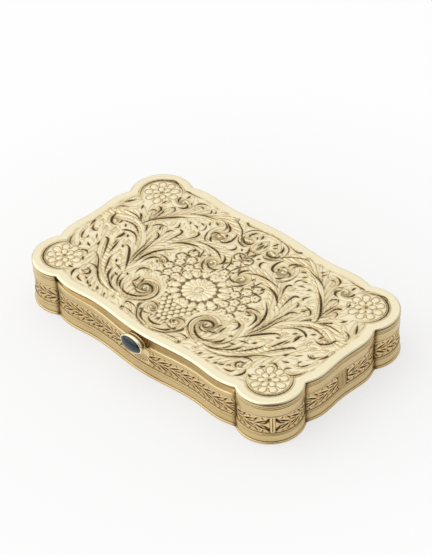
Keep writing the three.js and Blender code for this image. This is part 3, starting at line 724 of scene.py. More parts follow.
class Relief:
    """A sheet of metal worked by hand: a height, and a patina with painted shade, at each point of a fine grid."""

    MARGIN = 0.15

    def __init__(self, x: Array, y: Array) -> None:
        """Lays out the sheet.

        Args:
            x: places of its columns, in millimetres.
            y: places of its rows, in millimetres.
        """
        self.xs, self.ys = x, y
        self.x, self.y = np.meshgrid(x, y)
        self.height, self.patina_and_shade = np.zeros((2, len(y), len(x)))

    def window(self, points: Array, margin: float) -> tuple[slice, slice]:
        """The rows and columns within a margin of some points, in millimetres."""
        ends = np.stack([points.min(0) - margin, points.max(0) + margin])
        return slice(*np.searchsorted(self.ys, ends[:, 1])), slice(*np.searchsorted(self.xs, ends[:, 0]))

    def reach(self, points: Array, radii: Array | float, room: float) -> tuple[tuple[slice, slice], Array, float]:
        """How deep the places near a stroke lie inside it.

        Args:
            points: the stroke's line.
            radii: half widths along it, or one for all of it.
            room: how far outside the stroke to look.

        Returns:
            The rows and columns near it, millimetres inside it, below zero outside, and its greatest half width.
        """
        radii = np.broadcast_to(np.asarray(radii, float), len(points))
        near = self.window(points, radii.max() + room)
        x, y = self.x[near], self.y[near]
        best = np.full(x.shape, -1e9)
        for a, b, ra, rb in zip(points, points[1:], radii, radii[1:]):
            d = b - a
            t = np.clip(((x - a[0]) * d[0] + (y - a[1]) * d[1]) / max(d @ d, 1e-12), 0, 1)
            best = np.maximum(best, ra + (rb - ra) * t - np.hypot(x - a[0] - t * d[0], y - a[1] - t * d[1]))
        return near, best, radii.max()

    def raised(self, points: Array, radii: Array | float, rise: float = 0.12, line: float = 0.11, sunk: float = 0.15,
               shade: float = 0.0) -> None:
        """Raises a rounded shape with a cut line round it, over whatever is there.

        Args:
            points: the shape's middle line.
            radii: half widths along it.
            rise: height of its crown.
            line: width of the cut line.
            sunk: depth of the cut line.
            shade: patina left on its flanks.
        """
        near, inside, widest = self.reach(points, radii, line + 0.1)
        crown = 1 - (1 - np.clip(inside / (0.75 * widest), 0, 1)) ** 2
        height, patina_and_shade, on = self.height[near], self.patina_and_shade[near], inside > 0
        height[on] = (rise * crown)[on]
        patina_and_shade[on] = (shade * (1 - crown))[on]
        edge = np.exp(-(((inside + line * 0.3) / (line * 0.62)) ** 2))
        height -= sunk * edge
        np.maximum(patina_and_shade, edge, out=patina_and_shade)

    def line(self, points: Array, radii: Array | float, sunk: float, shade: float) -> None:
        """Cuts a line.

        Args:
            points: its path.
            radii: half widths along it.
            sunk: its depth.
            shade: patina left in it.
        """
        near, inside, widest = self.reach(points, radii, self.MARGIN)
        cut_in = smooth(np.clip(inside / widest + 0.35, 0, 1))
        self.height[near] -= sunk * cut_in
        self.patina_and_shade[near] = np.maximum(self.patina_and_shade[near], shade * cut_in)

    def groove(self, points: Array, radii: Array | float, depth: float) -> None:
        """Cuts a tapered groove, deepest where it is widest.

        Args:
            points: its path.
            radii: half widths along it.
            depth: depth at its widest.
        """
        near, inside, widest = self.reach(points, radii, self.MARGIN)
        cut_in = np.clip(inside / widest, 0, 1) * depth * 1.3
        stain_and_shade = np.clip(0.7 + 0.7 * inside / widest + 0.7 * np.clip(inside / 0.1, -1, 0), 0, 1)
        self.height[near] = np.minimum(self.height[near], 0.02 - cut_in + 0.15 * np.clip(-inside / 0.1, 0, 5))
        self.patina_and_shade[near] = np.maximum(self.patina_and_shade[near], stain_and_shade)

    def sunk(self, points: Array, radius: float, depth: float, shade: float, steep: float = 1.6) -> None:
        """Sinks a soft hollow.

        Args:
            points: its middle line.
            radius: its half width.
            depth: its depth.
            shade: painted shade and patina left in it.
            steep: how fast hollow and darkening set in from its edge.
        """
        near, inside, _ = self.reach(points, radius, self.MARGIN)
        inside = np.clip(inside / radius, 0, 1)
        on = inside > 0
        self.height[near][on] = (-depth * np.clip(inside * max(1.0, steep / 1.6), 0, 1))[on]
        self.patina_and_shade[near][on] = (shade * np.clip(inside * steep, 0, 1))[on]

    def model(self, width: float, stain_and_shade: float, sunk: float) -> None:
        """Rounds the metal down towards every cut and paints a soft shade there, standing in for the relief's
        modelling.

        Args:
            width: how far from a cut, in millimetres.
            stain_and_shade: painted shade beside a full cut.
            sunk: how far the metal falls beside it.
        """
        step = self.xs[1] - self.xs[0]
        offsets = np.arange(-int(2.2 * width / step), int(2.2 * width / step) + 1)
        weights = np.exp(-((offsets * step / width) ** 2))
        soft = self.patina_and_shade
        for axis in (0, 1):
            soft = sum(w * np.roll(soft, k, axis) for w, k in zip(weights / weights.sum(), offsets))
        self.height -= sunk * soft
        np.maximum(self.patina_and_shade, stain_and_shade * soft, out=self.patina_and_shade)

    def calm(self) -> None:
        """Takes the last sharpness off, as polishing does."""
        for grid in (self.height, self.patina_and_shade):
            for axis in (0, 1):
                grid[:] = 0.25 * np.roll(grid, 1, axis) + 0.5 * grid + 0.25 * np.roll(grid, -1, axis)


def flowing(points: Points, steps: int) -> Array:
    """A smooth line through points.

    Args:
        points: the points.
        steps: steps between two of them.

    Returns:
        The finer line.
    """
    p = np.asarray(points, float)
    q = np.vstack([2 * p[0] - p[1], p, 2 * p[-1] - p[-2]])
    t = np.linspace(0, 1, steps, endpoint=False)[:, None]
    out = [0.5 * (2 * b + (c - a) * t + (2 * a - 5 * b + 4 * c - d) * t**2 + (3 * b - a - 3 * c + d) * t**3)
           for a, b, c, d in zip(q, q[1:], q[2:], q[3:])]
    return np.vstack([*out, q[-2:-1]])


def spindle(count: int, start: float, widest: float, end: float, peak: float) -> Array:
    """Half widths of a leaf from its foot to its tip.

    Args:
        count: how many.
        start: half width at the foot.
        widest: the greatest half width.
        end: half width at the tip.
        peak: where it is widest, 0 to 1.

    Returns:
        The half widths.
    """
    t = np.linspace(0, 1, count)
    up = start + (widest - start) * np.sin(np.clip(t / peak, 0, 1) * np.pi / 2)
    down = widest + (end - widest) * (1 - np.cos(np.clip((t - peak) / (1 - peak), 0, 1) * np.pi / 2))
    return np.where(t < peak, up, down)


def heading(line: Array) -> tuple[Array, Array]:
    """Directions along a line and across it.

    Args:
        line: the line's points.

    Returns:
        Unit directions at its points, and the same a quarter turn to the right.
    """
    way = np.gradient(line, axis=0)
    way /= np.hypot(*way.T)[:, None] + 1e-9
    return way, way[:, ::-1] * (1, -1)


def travelled(line: Array) -> Array:
    """The length travelled at each point of a line."""
    return np.concatenate([[0], np.cumsum(np.hypot(*np.diff(line, axis=0).T))])


def pick(line: Array, length: Array, at: Array) -> Array:
    """Points of a line where the length travelled has the given values."""
    return np.stack([np.interp(at, length, line[:, k]) for k in (0, 1)], 1)


PER_MM = 14.39
UNIT = 1 / PER_MM
SHEET_MIDDLE = (757, 512)
MID, FOOT = 0.5, 0.15
CUTS = (
    (3, MID, 222, 205, 224, 186, 245, 178, 270, 186, 292, 199),
    (4.5, FOOT, 305, 189, 320, 193, 350, 195, 400, 193),
    (5, FOOT, 331, 233, 333, 250, 342, 262, 356, 270),
    (5.5, MID, 372, 250, 386, 258, 390, 272, 380, 283, 362, 287),
    (4.5, MID, 351, 206, 353, 216, 352, 230),
    (3, MID, 383, 233, 390, 240, 400, 248),
    (4.5, MID, 444, 207, 424, 210, 410, 222, 407, 242),
    (3.5, MID, 428, 228, 436, 229, 446, 232),
    (3, MID, 470, 215, 480, 228, 484, 240),
    (3, MID, 488, 208, 494, 220, 500, 228),
    (3, MID, 344, 314, 351, 299, 362, 299, 372, 314, 374, 335),
    (5, FOOT, 308, 329, 322, 332, 330, 345, 332, 365, 333, 395),
    (3, MID, 301, 380, 304, 361, 315, 354, 326, 366),
    (2.5, MID, 338, 318, 343, 345, 346, 375, 344, 405),
    (5, FOOT, 286, 404, 298, 413, 312, 428, 338, 446),
    (4.5, MID, 257, 360, 263, 372, 270, 386),
    (3.5, MID, 312, 283, 305, 294, 306, 314),
    (5.5, MID, 332, 452, 338, 425, 350, 398, 372, 368, 396, 341, 422, 318, 452, 297),
    (3.5, MID, 424, 286, 450, 272, 478, 258, 512, 250, 548, 238),
    (4, MID, 436, 345, 446, 362, 450, 374, 440, 384),
    (3.5, MID, 455, 318, 466, 323, 470, 336),
    (4, MID, 372, 434, 378, 416, 394, 403, 424, 399),
    (3.5, MID, 399, 404, 403, 420, 414, 432),
    (3.5, MID, 437, 430, 441, 408, 456, 400),
    (4.5, MID, 410, 443, 428, 451, 438, 468, 441, 500),
    (3.5, MID, 350, 450, 356, 440, 364, 450, 380, 478),
    (3, MID, 225, 428, 255, 423, 290, 424, 318, 436),
    (3.5, MID, 250, 482, 285, 472, 320, 469, 352, 484, 372, 498),
    (5.5, MID, 206, 458, 220, 470, 224, 488, 238, 508, 258, 515, 280, 508),
    (4, MID, 264, 474, 267, 486, 270, 500),
    (4, MID, 288, 485, 296, 491, 306, 502),
    (3.5, MID, 182, 312, 184, 322, 190, 332),
    (4.5, MID, 188, 400, 196, 386, 208, 368, 220, 352),
    (3, MID, 190, 440, 200, 420, 214, 411, 234, 408),
    (4.5, FOOT, 622, 183, 634, 193, 650, 193, 690, 186),
    (2.6, MID, 586, 188, 592, 203, 610, 214, 638, 230, 658, 252, 680, 278, 702, 294),
    (4.5, MID, 566, 236, 584, 242, 600, 253, 609, 268, 604, 280),
    (3, MID, 545, 236, 566, 242, 582, 252, 590, 268, 585, 284),
    (6, MID, 638, 254, 648, 276, 651, 302, 644, 322, 630, 331, 612, 326),
    (4, MID, 570, 326, 571, 308, 584, 300, 602, 306),
    (4.5, MID, 578, 326, 586, 344, 604, 356),
    (3, MID, 552, 292, 551, 320, 560, 344, 574, 360, 594, 367),
    (4.5, MID, 613, 284, 619, 291, 621, 300),
    (3, MID, 622, 303, 624, 312, 618, 318),
    (5, MID, 699, 201, 687, 214, 682, 232, 688, 246),
    (4.5, MID, 719, 200, 725, 214, 728, 230),
    (3.5, MID, 708, 222, 713, 230, 718, 238),
    (5.5, MID, 668, 244, 674, 262, 690, 275, 706, 277, 719, 267, 722, 252),
    (3.5, MID, 652, 262, 668, 284, 690, 294, 708, 296, 722, 288),
    (2.6, MID, 757, 184, 724, 184, 692, 190, 668, 206, 658, 234, 654, 262),
    (4.5, MID, 768, 238, 773, 262, 768, 286, 770, 306),
    (3, MID, 762, 232, 756, 248, 754, 268, 757, 288),
    (3.5, MID, 742, 232, 746, 246, 742, 262),
    (5, MID, 684, 309, 694, 324, 689, 340, 672, 350),
    (4, MID, 710, 310, 716, 315, 722, 322),
    (4, MID, 726, 280, 736, 298, 746, 316, 758, 332),
    (3.5, MID, 720, 332, 734, 343, 746, 350, 760, 362),
    (4, MID, 546, 389, 580, 381, 620, 377, 655, 381, 684, 396, 704, 410),
    (5.5, MID, 686, 378, 704, 390, 714, 408, 713, 424, 702, 438),
    (3, MID, 714, 368, 732, 388, 742, 414, 746, 446),
    (5.5, MID, 494, 462, 512, 441, 540, 420, 572, 409, 606, 408),
    (3, MID, 606, 404, 620, 414, 624, 432, 638, 452),
    (5, MID, 584, 420, 591, 430, 590, 444),
    (4.5, MID, 582, 470, 592, 464, 606, 470),
    (3.5, MID, 616, 438, 624, 444, 634, 446),
    (3.5, MID, 646, 406, 652, 414, 650, 422),
    (4.5, MID, 652, 442, 660, 462, 674, 480, 694, 490),
    (4.5, MID, 668, 440, 680, 458, 702, 466, 722, 460, 732, 442),
    (5, FOOT, 462, 377, 480, 382, 484, 402, 480, 436, 472, 480),
    (5, FOOT, 524, 344, 538, 354, 537, 372, 528, 394, 514, 416),
    (4, MID, 534, 258, 546, 264, 556, 270),
    (3.5, MID, 518, 272, 524, 282, 532, 292),
    (3, MID, 514, 292, 526, 304, 532, 320, 528, 336),
    (3.5, MID, 494, 299, 506, 300, 518, 306),
    (3.5, MID, 482, 324, 500, 325, 512, 336),
    (5, FOOT, 304, 522, 322, 507, 346, 503, 368, 510, 388, 528, 412, 556),
    (5, MID, 318, 518, 325, 532, 324, 550, 322, 570),
    (3, MID, 332, 520, 330, 545, 326, 568),
    (4.5, MID, 340, 523, 347, 530, 354, 540),
    (6, MID, 366, 576, 388, 570, 408, 582, 430, 606, 450, 632, 468, 656, 484, 682),
    (5, FOOT, 288, 589, 306, 590, 322, 610, 338, 632, 356, 660, 376, 690),
    (4.5, MID, 343, 566, 350, 592, 358, 618, 368, 648),
    (3, MID, 333, 566, 338, 584, 342, 604),
    (4, MID, 384, 634, 389, 660, 402, 684, 420, 712, 442, 740),
    (4.5, MID, 368, 580, 376, 584, 384, 592),
    (5, MID, 412, 650, 418, 657, 427, 668),
    (3.5, MID, 426, 674, 448, 676, 472, 686),
    (5, MID, 436, 690, 442, 714, 456, 737, 482, 758),
    (4, MID, 460, 707, 472, 711, 486, 714),
    (3, MID, 466, 716, 474, 734, 490, 752),
    (3.5, MID, 438, 470, 446, 520, 450, 566, 458, 606, 474, 652),
    (2.6, MID, 418, 480, 432, 530, 440, 576, 452, 616),
    (5.5, MID, 542, 468, 514, 492, 494, 517, 481, 545, 475, 575, 475, 604, 482, 634),
    (4.5, MID, 292, 620, 298, 632, 306, 644),
    (4.5, MID, 262, 652, 274, 659, 290, 664),
    (4.5, MID, 310, 719, 317, 728, 328, 738),
    (4, MID, 272, 704, 284, 693, 300, 690, 314, 704),
    (3.5, MID, 312, 671, 342, 679, 372, 702, 402, 736, 436, 766, 476, 786, 530, 792),
    (3.5, MID, 352, 734, 376, 728, 404, 738, 440, 764),
    (4.5, FOOT, 186, 540, 192, 560, 200, 582),
    (4, MID, 204, 560, 214, 580, 230, 588, 246, 582),
    (4, MID, 202, 606, 214, 634, 230, 652),
    (3.5, MID, 234, 620, 240, 630, 238, 640),
    (3, MID, 252, 594, 262, 606, 274, 620),
    (3, MID, 190, 650, 200, 676, 218, 698, 246, 702),
    (3.5, MID, 236, 668, 250, 678, 254, 694),
    (4.5, MID, 362, 754, 384, 757, 396, 770, 390, 784, 376, 788),
    (5.5, MID, 352, 772, 343, 790, 348, 811, 364, 828),
    (4.5, MID, 374, 798, 381, 814, 396, 820, 414, 822),
    (4.5, MID, 308, 790, 318, 790, 330, 787),
    (3.5, MID, 398, 794, 406, 796, 416, 800),
    (4, MID, 420, 802, 430, 812, 442, 819),
    (3.5, MID, 446, 810, 449, 818, 452, 828),
    (3.5, MID, 470, 802, 480, 812, 484, 822),
    (3, MID, 516, 808, 522, 818, 528, 828),
    (4.5, FOOT, 562, 548, 558, 536, 540, 529, 516, 529, 500, 538),
    (5, MID, 493, 614, 494, 582, 502, 560, 516, 548, 536, 545),
    (3.5, MID, 541, 548, 548, 555, 558, 552),
    (3.5, MID, 526, 556, 532, 564, 540, 572),
    (5, MID, 522, 668, 516, 642, 521, 624, 532, 617, 546, 613),
    (5.5, MID, 588, 706, 584, 690, 596, 676, 620, 678, 638, 694, 642, 714),
    (5.5, MID, 642, 708, 634, 730, 612, 750, 584, 761, 556, 758, 534, 734),
    (3.5, MID, 594, 692, 597, 706, 608, 712, 618, 706, 616, 696),
    (2.8, MID, 572, 716, 590, 728, 612, 726, 628, 714),
    (2.8, MID, 600, 655, 630, 658, 652, 676, 664, 704, 658, 734, 638, 758, 606, 778, 566, 790),
    (4.5, MID, 546, 660, 549, 682, 545, 706),
    (4, MID, 546, 702, 566, 714, 592, 719),
    (4.5, MID, 508, 700, 512, 726, 526, 746, 550, 762),
    (4.5, MID, 458, 734, 488, 760, 516, 773, 548, 778),
    (3.5, MID, 486, 690, 490, 714, 504, 738, 528, 758),
    (4, MID, 496, 680, 503, 684, 508, 692),
    (3.5, MID, 562, 662, 570, 672, 568, 688),
    (3, MID, 612, 806, 610, 792, 634, 788, 664, 800),
    (4.5, MID, 612, 820, 618, 825, 622, 818),
    (2.6, MID, 624, 818, 652, 820, 686, 830),
    (4.5, MID, 676, 766, 682, 790, 694, 808, 714, 822, 740, 829),
    (3.5, MID, 722, 756, 716, 768, 702, 770),
    (3.5, MID, 704, 750, 712, 756, 706, 762),
    (5, MID, 722, 796, 736, 808, 757, 813, 778, 808, 792, 796),
    (2.8, MID, 656, 740, 655, 770, 668, 800, 694, 826, 730, 838, 757, 841),
    (3, MID, 664, 744, 684, 732, 706, 736, 720, 750),
)


class LidDrawing(Relief):
    """The chaser's drawing for the left half of the lid; the right half is its mirror.

    Drawn on a sheet with PER_MM units to the millimetre, counted down, with the lid's middle at SHEET_MIDDLE.
    CUTS holds its deep cuts: half width, where along the cut that is reached, then x and y of each point.
    Fine cuts go where less than UNCUT of patina and painted shade lies, FIELD_IN from the outline and FLOWER_ROOM from
    a place FLOWER_SHIFT inwards of a corner flower. SOFTENING evens out the pull of the bold cuts near them.
    """

    DAISY = (757, 580)
    CORNER_X, CORNER_Y = 258.0, 249
    FIELD_IN = 3.4
    FLOWER_SHIFT, FLOWER_ROOM = 4, 90
    UNCUT = 0.35
    SOFTENING = 60

    def place(self, points: Points) -> Array:
        """Turns drawing units into millimetres."""
        return (np.asarray(points, float) - SHEET_MIDDLE) * (1, -1) / PER_MM

    def spot(self, at: Pair, long: float = 1.0) -> Array:
        """A stroke so short that it makes a dot."""
        return self.place([at, (at[0] + long, at[1])])

    def hollow(self, at: Pair, radius: float, depth: float, shade: float, steep: float = 1.6) -> None:
        """Sinks a round bed darkened with painted shade and patina, with its radius in drawing units."""
        self.sunk(self.spot(at), radius * UNIT, depth, shade, steep)

    def leaf(self, points: Points, width: float, rise: float = 0.12) -> None:
        """One leaf lobe, with a cut vein if there is room.

        Args:
            points: its middle line.
            width: its greatest half width.
            rise: its height.
        """
        path, w = self.place(flowing(points, 6)), width * UNIT
        self.raised(path, spindle(len(path), w * 0.15, w, w * 0.35, 0.65), rise, 0.10)
        if width > 4:
            part = path[len(path) // 10:int(len(path) * 0.8)]
            self.line(part, spindle(len(part), 0.02, 0.06, 0.02, 0.35), 0.08, 0.75)

    def fan(self, foot: Pair, tips: Points, width: float, bow: Pair, level: float | None = None) -> None:
        """Leaves from one foot.

        Args:
            foot: where they start.
            tips: where they end.
            width: greatest half width of each.
            bow: how far their middles lie off the straight line.
            level: height of their middles on the sheet, where they share it.
        """
        for tip in tips:
            middle = np.add(foot, tip) / 2 + bow
            self.leaf([foot, (middle[0], middle[1] if level is None else level), tip], width)

    def barbs(self, rib: Points, side: int, count: int, spread: Triple, run: float, width: float, start: float,
              end: float, curl: float = 0.0) -> None:
        """Long leaf lobes that hug a rib and peel away from it, the nearest on top.

        Args:
            rib: the rib's line.
            side: which side of the rib, 1 or -1.
            count: how many lobes.
            spread: how far out the tips reach, how that grows along the rib, and how far it swells between.
            run: how much of the rib each lobe follows.
            width: half width of a lobe near its tip.
            start: where the first lobe leaves.
            end: where the last lobe leaves.
            curl: how far each tip turns back.
        """
        line, w, t = flowing(rib, 14), width * UNIT, np.linspace(0, 1, 9)
        length, tangent = travelled(line), heading(line)[0]
        for foot in np.linspace(end, start, count):
            s = foot + run * t
            at = np.clip(s, 0, 1) * length[-1]
            along = pick(tangent, length, at)
            tip = min(1.0, foot + run * 0.6)
            reach = spread[0] + spread[1] * tip + spread[2] * math.sin(3 * tip)
            path = (pick(line, length, at) + along * (s * length[-1] - at - curl * reach * t**6)[:, None]
                    + along[:, ::-1] * (side, -side) * (reach * t**2.2)[:, None])
            path = self.place(path)
            self.raised(path, spindle(9, w * 0.25, w, w * 0.6, 0.8), 0.13, 0.10)
            self.line(path[1:8], spindle(7, 0.02, 0.055, 0.02, 0.5), 0.07, 0.6)

    def volute(self, eye: Pair, radii: Pair, turn: Pair, widths: Pair, lead: Points = (),
               tight: float = 0.75) -> None:
        """A scroll that winds to its eye over a sunk ground.

        Args:
            eye: its middle.
            radii: first and last radius.
            turn: first and last angle in degrees, anticlockwise.
            widths: first and last half width of the band.
            lead: points of the stem that leads into it.
            tight: how early it tightens.
        """
        dot = self.spot(eye, 0.5)
        self.sunk(dot, radii[0] * 0.9 * UNIT, 0.2, 0.7)
        a = np.radians(np.linspace(*turn, 70))
        r = radii[0] + (radii[1] - radii[0]) * np.linspace(0, 1, 70) ** tight
        coil = eye + r[:, None] * np.stack([np.cos(a), -np.sin(a)], 1)
        if lead:
            coil = np.vstack([flowing([*lead, tuple(coil[0])], 8)[:-1], coil])
        path = self.place(coil)
        self.raised(path, np.linspace(*widths, len(path)) * UNIT, 0.16, 0.12)
        if widths[0] > 5:
            keep = int(len(path) * 0.8)
            self.line(path[:keep], np.linspace(0.05, 0.03, keep), 0.07, 0.6)
        self.raised(dot, radii[1] * 0.9 * UNIT, 0.16, 0.08)

    def flower(self, middle: Pair, petals: int, reach: Pair, width: float, rise: float, line: float = 0.09,
               turn: float = 0.0, flat: float = 1.0, vein: bool = False) -> None:
        """A flower seen from above.

        Args:
            middle: its middle.
            petals: how many petals.
            reach: where petals start and end.
            width: half width of a petal.
            rise: height of a petal.
            line: width of the cut round a petal.
            turn: angle of the first petal.
            flat: height of the flower by its width.
            vein: whether petals have a vein.
        """
        for i in range(petals):
            a = math.radians(turn + 360 * i / petals)
            way = np.array([math.cos(a), -math.sin(a) * flat])
            path = self.place([middle + way * r for r in (reach[0], sum(reach) / 2, reach[1])])
            self.raised(path, np.array([0.35, 0.8, 1.0]) * width * UNIT, rise, line, min(1.6 * line, 0.15))
            if vein:
                self.line(path[:2] * 0.7 + path[1:] * 0.3, (0.06, 0.03), 0.06, 0.8)

    def rosettes(self) -> None:
        """The field of small rosettes round the middle on a ground darkened with painted shade and patina, with scales
        below.
        """
        jitter, flowers = np.random.default_rng(7), []
        for j in range(17):
            for i in range(8):
                x, y = 560 + i * 40 + (j % 2) * 20 + jitter.uniform(-4, 4), 316 + j * 33 + jitter.uniform(-4, 4)
                inside = (x > 566 and 440 < y < 775 and x - 566 > (y - 620) * 0.5) or (x > 724 and 300 < y < 470)
                if inside and not (y > 670 and x > 690):
                    flowers.append((x, y))
        scales = [(757 - i * 25 - (j % 2) * 12.5, 676 + j * 19) for j in range(6) for i in range(4)]
        for at in (*flowers, *scales):
            self.hollow(at, 26, 0.12, 0.88, 6.0)
        for at in flowers:
            self.flower(at, 5, (5, 10), jitter.uniform(7.2, 8.4), 0.08, 0.045, jitter.uniform(0, 72))
            self.line(self.spot(at, 0.5), 2.6 * UNIT, 0.16, 1.0)
        for at in scales:
            self.flower(at, 1, (0, 1), 10.5, 0.08)

    def daisy(self) -> None:
        """The daisy in the middle of the lid: two rings of petals round a smooth boss."""
        self.hollow(self.DAISY, 94, 0.1, 0.85, 6.0)
        self.flower(self.DAISY, 17, (74, 92), 14.5, 0.10, 0.06, 10.0, 0.96, True)
        self.hollow(self.DAISY, 60, 0.12, 0.76, 6.0)
        self.flower(self.DAISY, 16, (24, 55), 10.5, 0.13, 0.06, 0.0, 0.96, True)
        self.hollow(self.DAISY, 24, 0.1, 0.5)
        self.raised(self.spot(self.DAISY), 15 * UNIT, 0.16, 0.1)

    def upper_scrolls(self) -> None:
        """The arching branches over the middle."""
        self.volute((700, 262), (36, 6), (100, 470), (7, 3.5), [(765, 188), (735, 189)])
        for tip in ((742, 292), (752, 300)):
            self.leaf([(757, 212), (738, 250), tip], 6)
        arch = [(330, 450), (362, 385), (420, 310), (490, 258), (560, 240), (620, 262)]
        self.barbs(arch, 1, 11, (40, 0, 14), 0.34, 6.5, 0.02, 0.9, 0.25)
        self.barbs(arch, -1, 8, (16, 8, 0), 0.3, 5.5, 0.05, 0.7)
        self.volute((602, 312), (56, 7), (112, 560), (10, 3.5), arch[:-1])
        inner = [(468, 600), (482, 520), (515, 450), (560, 402), (620, 382), (680, 392)]
        self.barbs(inner, 1, 10, (40, -8, 0), 0.34, 6.2, 0.05, 0.85, 0.2)
        self.barbs(inner, -1, 7, (22, 6, 0), 0.3, 5.5, 0.1, 0.6)
        self.volute((683, 440), (48, 6), (105, 520), (9, 3.5), inner[:-1])

    def left_leaves(self) -> None:
        """The plume and the large leaf that turns down at the left."""
        for side, reach in ((1, 62.0), (-1, 52.0)):
            self.barbs([(462, 650), (456, 580), (448, 520), (446, 455), (452, 405)], side, 7,
                       (0.7 * reach, 0.4 * reach, 0), 0.5, 8.0, 0.0, 0.62, 0.3)
        self.leaf([(460, 640), (452, 560), (448, 480), (450, 385)], 8.5)
        big = [(468, 640), (440, 560), (400, 500), (345, 455), (285, 445), (245, 470)]
        self.barbs(big, -1, 10, (46, 0, 6), 0.34, 7.0, 0.1, 0.95, 0.3)
        self.barbs(big, 1, 6, (18, 8, 0), 0.3, 6.0, 0.2, 0.7)
        self.volute((243, 495), (36, 8), (85, 370), (10, 4), big[:-1])

    def sprays(self) -> None:
        """Small sprays between the scrolls."""
        self.fan((338, 412), ((262, 368), (282, 330), (307, 292), (326, 314), (350, 302), (372, 318)), 7, (-6, 0))
        self.fan((193, 448), ((205, 335), (228, 345), (256, 388)), 8, (-1.5, -4))
        self.volute((360, 252), (40, 5), (205, 520), (9, 3), tight=0.7)
        self.fan((392, 268), ((440, 205), (462, 222), (478, 242), (500, 226)), 6, (0, -7))
        self.fan((520, 225), ((560, 200), (590, 205), (620, 212), (640, 230)), 5, (0, 0), 210)

    def lower_scroll(self) -> None:
        """The long S stem, its leaves and the great volute."""
        stem = [(278, 560), (298, 605), (330, 655), (374, 704), (432, 750), (505, 779), (575, 785)]
        self.barbs(stem, 1, 14, (46, -10, 0), 0.26, 7.5, 0.0, 0.8, 0.25)
        self.barbs(stem, -1, 10, (58, -8, 0), 0.34, 8.0, 0.02, 0.62, 0.3)
        self.volute((600, 697), (88, 8), (262, 850), (9, 4), stem[:-1], 0.55)
        for foot, tip in (((520, 782), (446, 668)), ((548, 786), (476, 692)), ((572, 786), (508, 684)),
                          ((592, 782), (540, 692)), ((610, 774), (566, 706)), ((628, 762), (588, 728))):
            self.fan(foot, [tip], 9.5, (-16, 6))
        self.volute((542, 550), (21, 4), (150, 440), (5.5, 3), [(452, 665), (466, 602), (488, 562)], 0.8)
        self.volute((548, 620), (19, 4), (150, 420), (5.5, 3), [(488, 690), (500, 642), (515, 614)], 0.8)

    def borders(self) -> None:
        """The small scrolls along the left and lower edges."""
        self.volute((378, 770), (40, 5), (60, 430), (8.5, 3), [(440, 765), (408, 733)], 0.7)
        for foot, tip in (((408, 806), (455, 826)), ((436, 808), (492, 820)), ((472, 812), (532, 818))):
            self.fan(foot, [tip], 5.5, (0, 0), foot[1] - 12)
        self.volute((557, 808), (11, 2), (120, 480), (3.2, 2), tight=0.8)
        self.volute((613, 798), (11, 2), (120, 440), (3.2, 2), [(655, 815), (632, 800)], 0.8)
        self.volute((616, 824), (9, 2), (-60, 260), (3.0, 2), [(660, 834), (638, 830)], 0.8)
        self.volute((697, 757), (33, 5), (150, -220), (7, 3), [(765, 838), (722, 834), (686, 818), (664, 790)], 0.7)
        self.fan((750, 834), ((716, 782), (732, 775), (748, 780)), 6.5, (-6, 0), 812)
        self.volute((228, 578), (15, 3), (180, 440), (4.5, 2), [(188, 515), (190, 550), (205, 578)], 0.8)
        self.volute((232, 646), (13, 3), (170, 440), (4.5, 2), [(194, 592), (205, 630)], 0.8)
        self.leaf([(190, 645), (208, 690), (246, 697)], 9.5)
        self.leaf([(205, 725), (228, 702), (265, 700)], 8.5)
        self.volute((275, 706), (17, 3), (200, -70), (5.5, 2), tight=0.8)

    def corner_flowers(self) -> None:
        """A flower in each corner lobe, with arcs round it."""
        for up in (1, -1):
            centre = np.array([-PLAN.lobe_x, up * PLAN.lobe_y])
            for radius, half, span in ((5.5, 0.24, 118), (5.0, 0.1, 104), (6.0, 0.06, 108)):
                a = np.radians(np.linspace(-span, span, 60)) + math.atan2(up, -1.15)
                arc = centre + radius * np.stack([np.cos(a), np.sin(a)], 1)
                self.groove(arc, spindle(60, 0.03, half, 0.03, 0.5), 0.13)
            at = (self.CORNER_X, SHEET_MIDDLE[1] - up * self.CORNER_Y)
            for bed, shade, flower in ((58, 0.9, (9, (32, 52), 13.5, 0.04, 0.19, 12.0, 1.0, True)),
                                       (38, 1.0, (6, (11, 26), 11, 0.06, 0.17, 20.0, 1.0, True)),
                                       (15, 1.0, (1, (0, 1), 8, 0.14))):
                self.hollow(at, bed, 0.1, shade)
                self.flower(at, *flower)
            self.line(self.spot(at), 5.5 * UNIT, 0.2, 1.0)

    def edge_lines(self) -> None:
        """The thin lines along the border."""
        for inset, half in ((2.95, 0.085), (2.55, 0.04)):
            (long, short), (nx, ny) = PLAN.sides(inset), PLAN.corners(inset)
            x, y = np.linspace(-nx, 0.3, 160), np.linspace(-ny, ny, 120)
            for path in (np.stack([x, long(x)], 1), np.stack([x, -long(x)], 1), np.stack([-short(y), y], 1)):
                self.line(path, half + half * 0.5 * np.sin(np.arange(len(path)) * 0.35), 0.06, 0.75)

    def bold_cuts(self) -> None:
        """The deep tapered cuts that give the drawing its dark accents, with thin cuts beside the widest."""
        for width, peak, *points in CUTS:
            line = flowing(np.reshape(points, (-1, 2)), 6)
            ends = 0.5 * UNIT, width * UNIT, 0.4 * UNIT
            self.groove(self.place(line), spindle(len(line), *ends, peak), 0.16)
            for side, room in ((1, 1.9), (-1, 2.0), (1, 3.2)) if width >= 3.5 else ():
                first, last = int(len(line) * (0.12 + 0.06 * room)), int(len(line) * (0.96 - 0.07 * room))
                beside = (line + side * room * width * heading(line)[1])[first:last]
                if len(beside) > 3:
                    self.line(self.place(beside), spindle(len(beside), 0.02, 0.085, 0.02, 0.5), 0.07, 0.62)

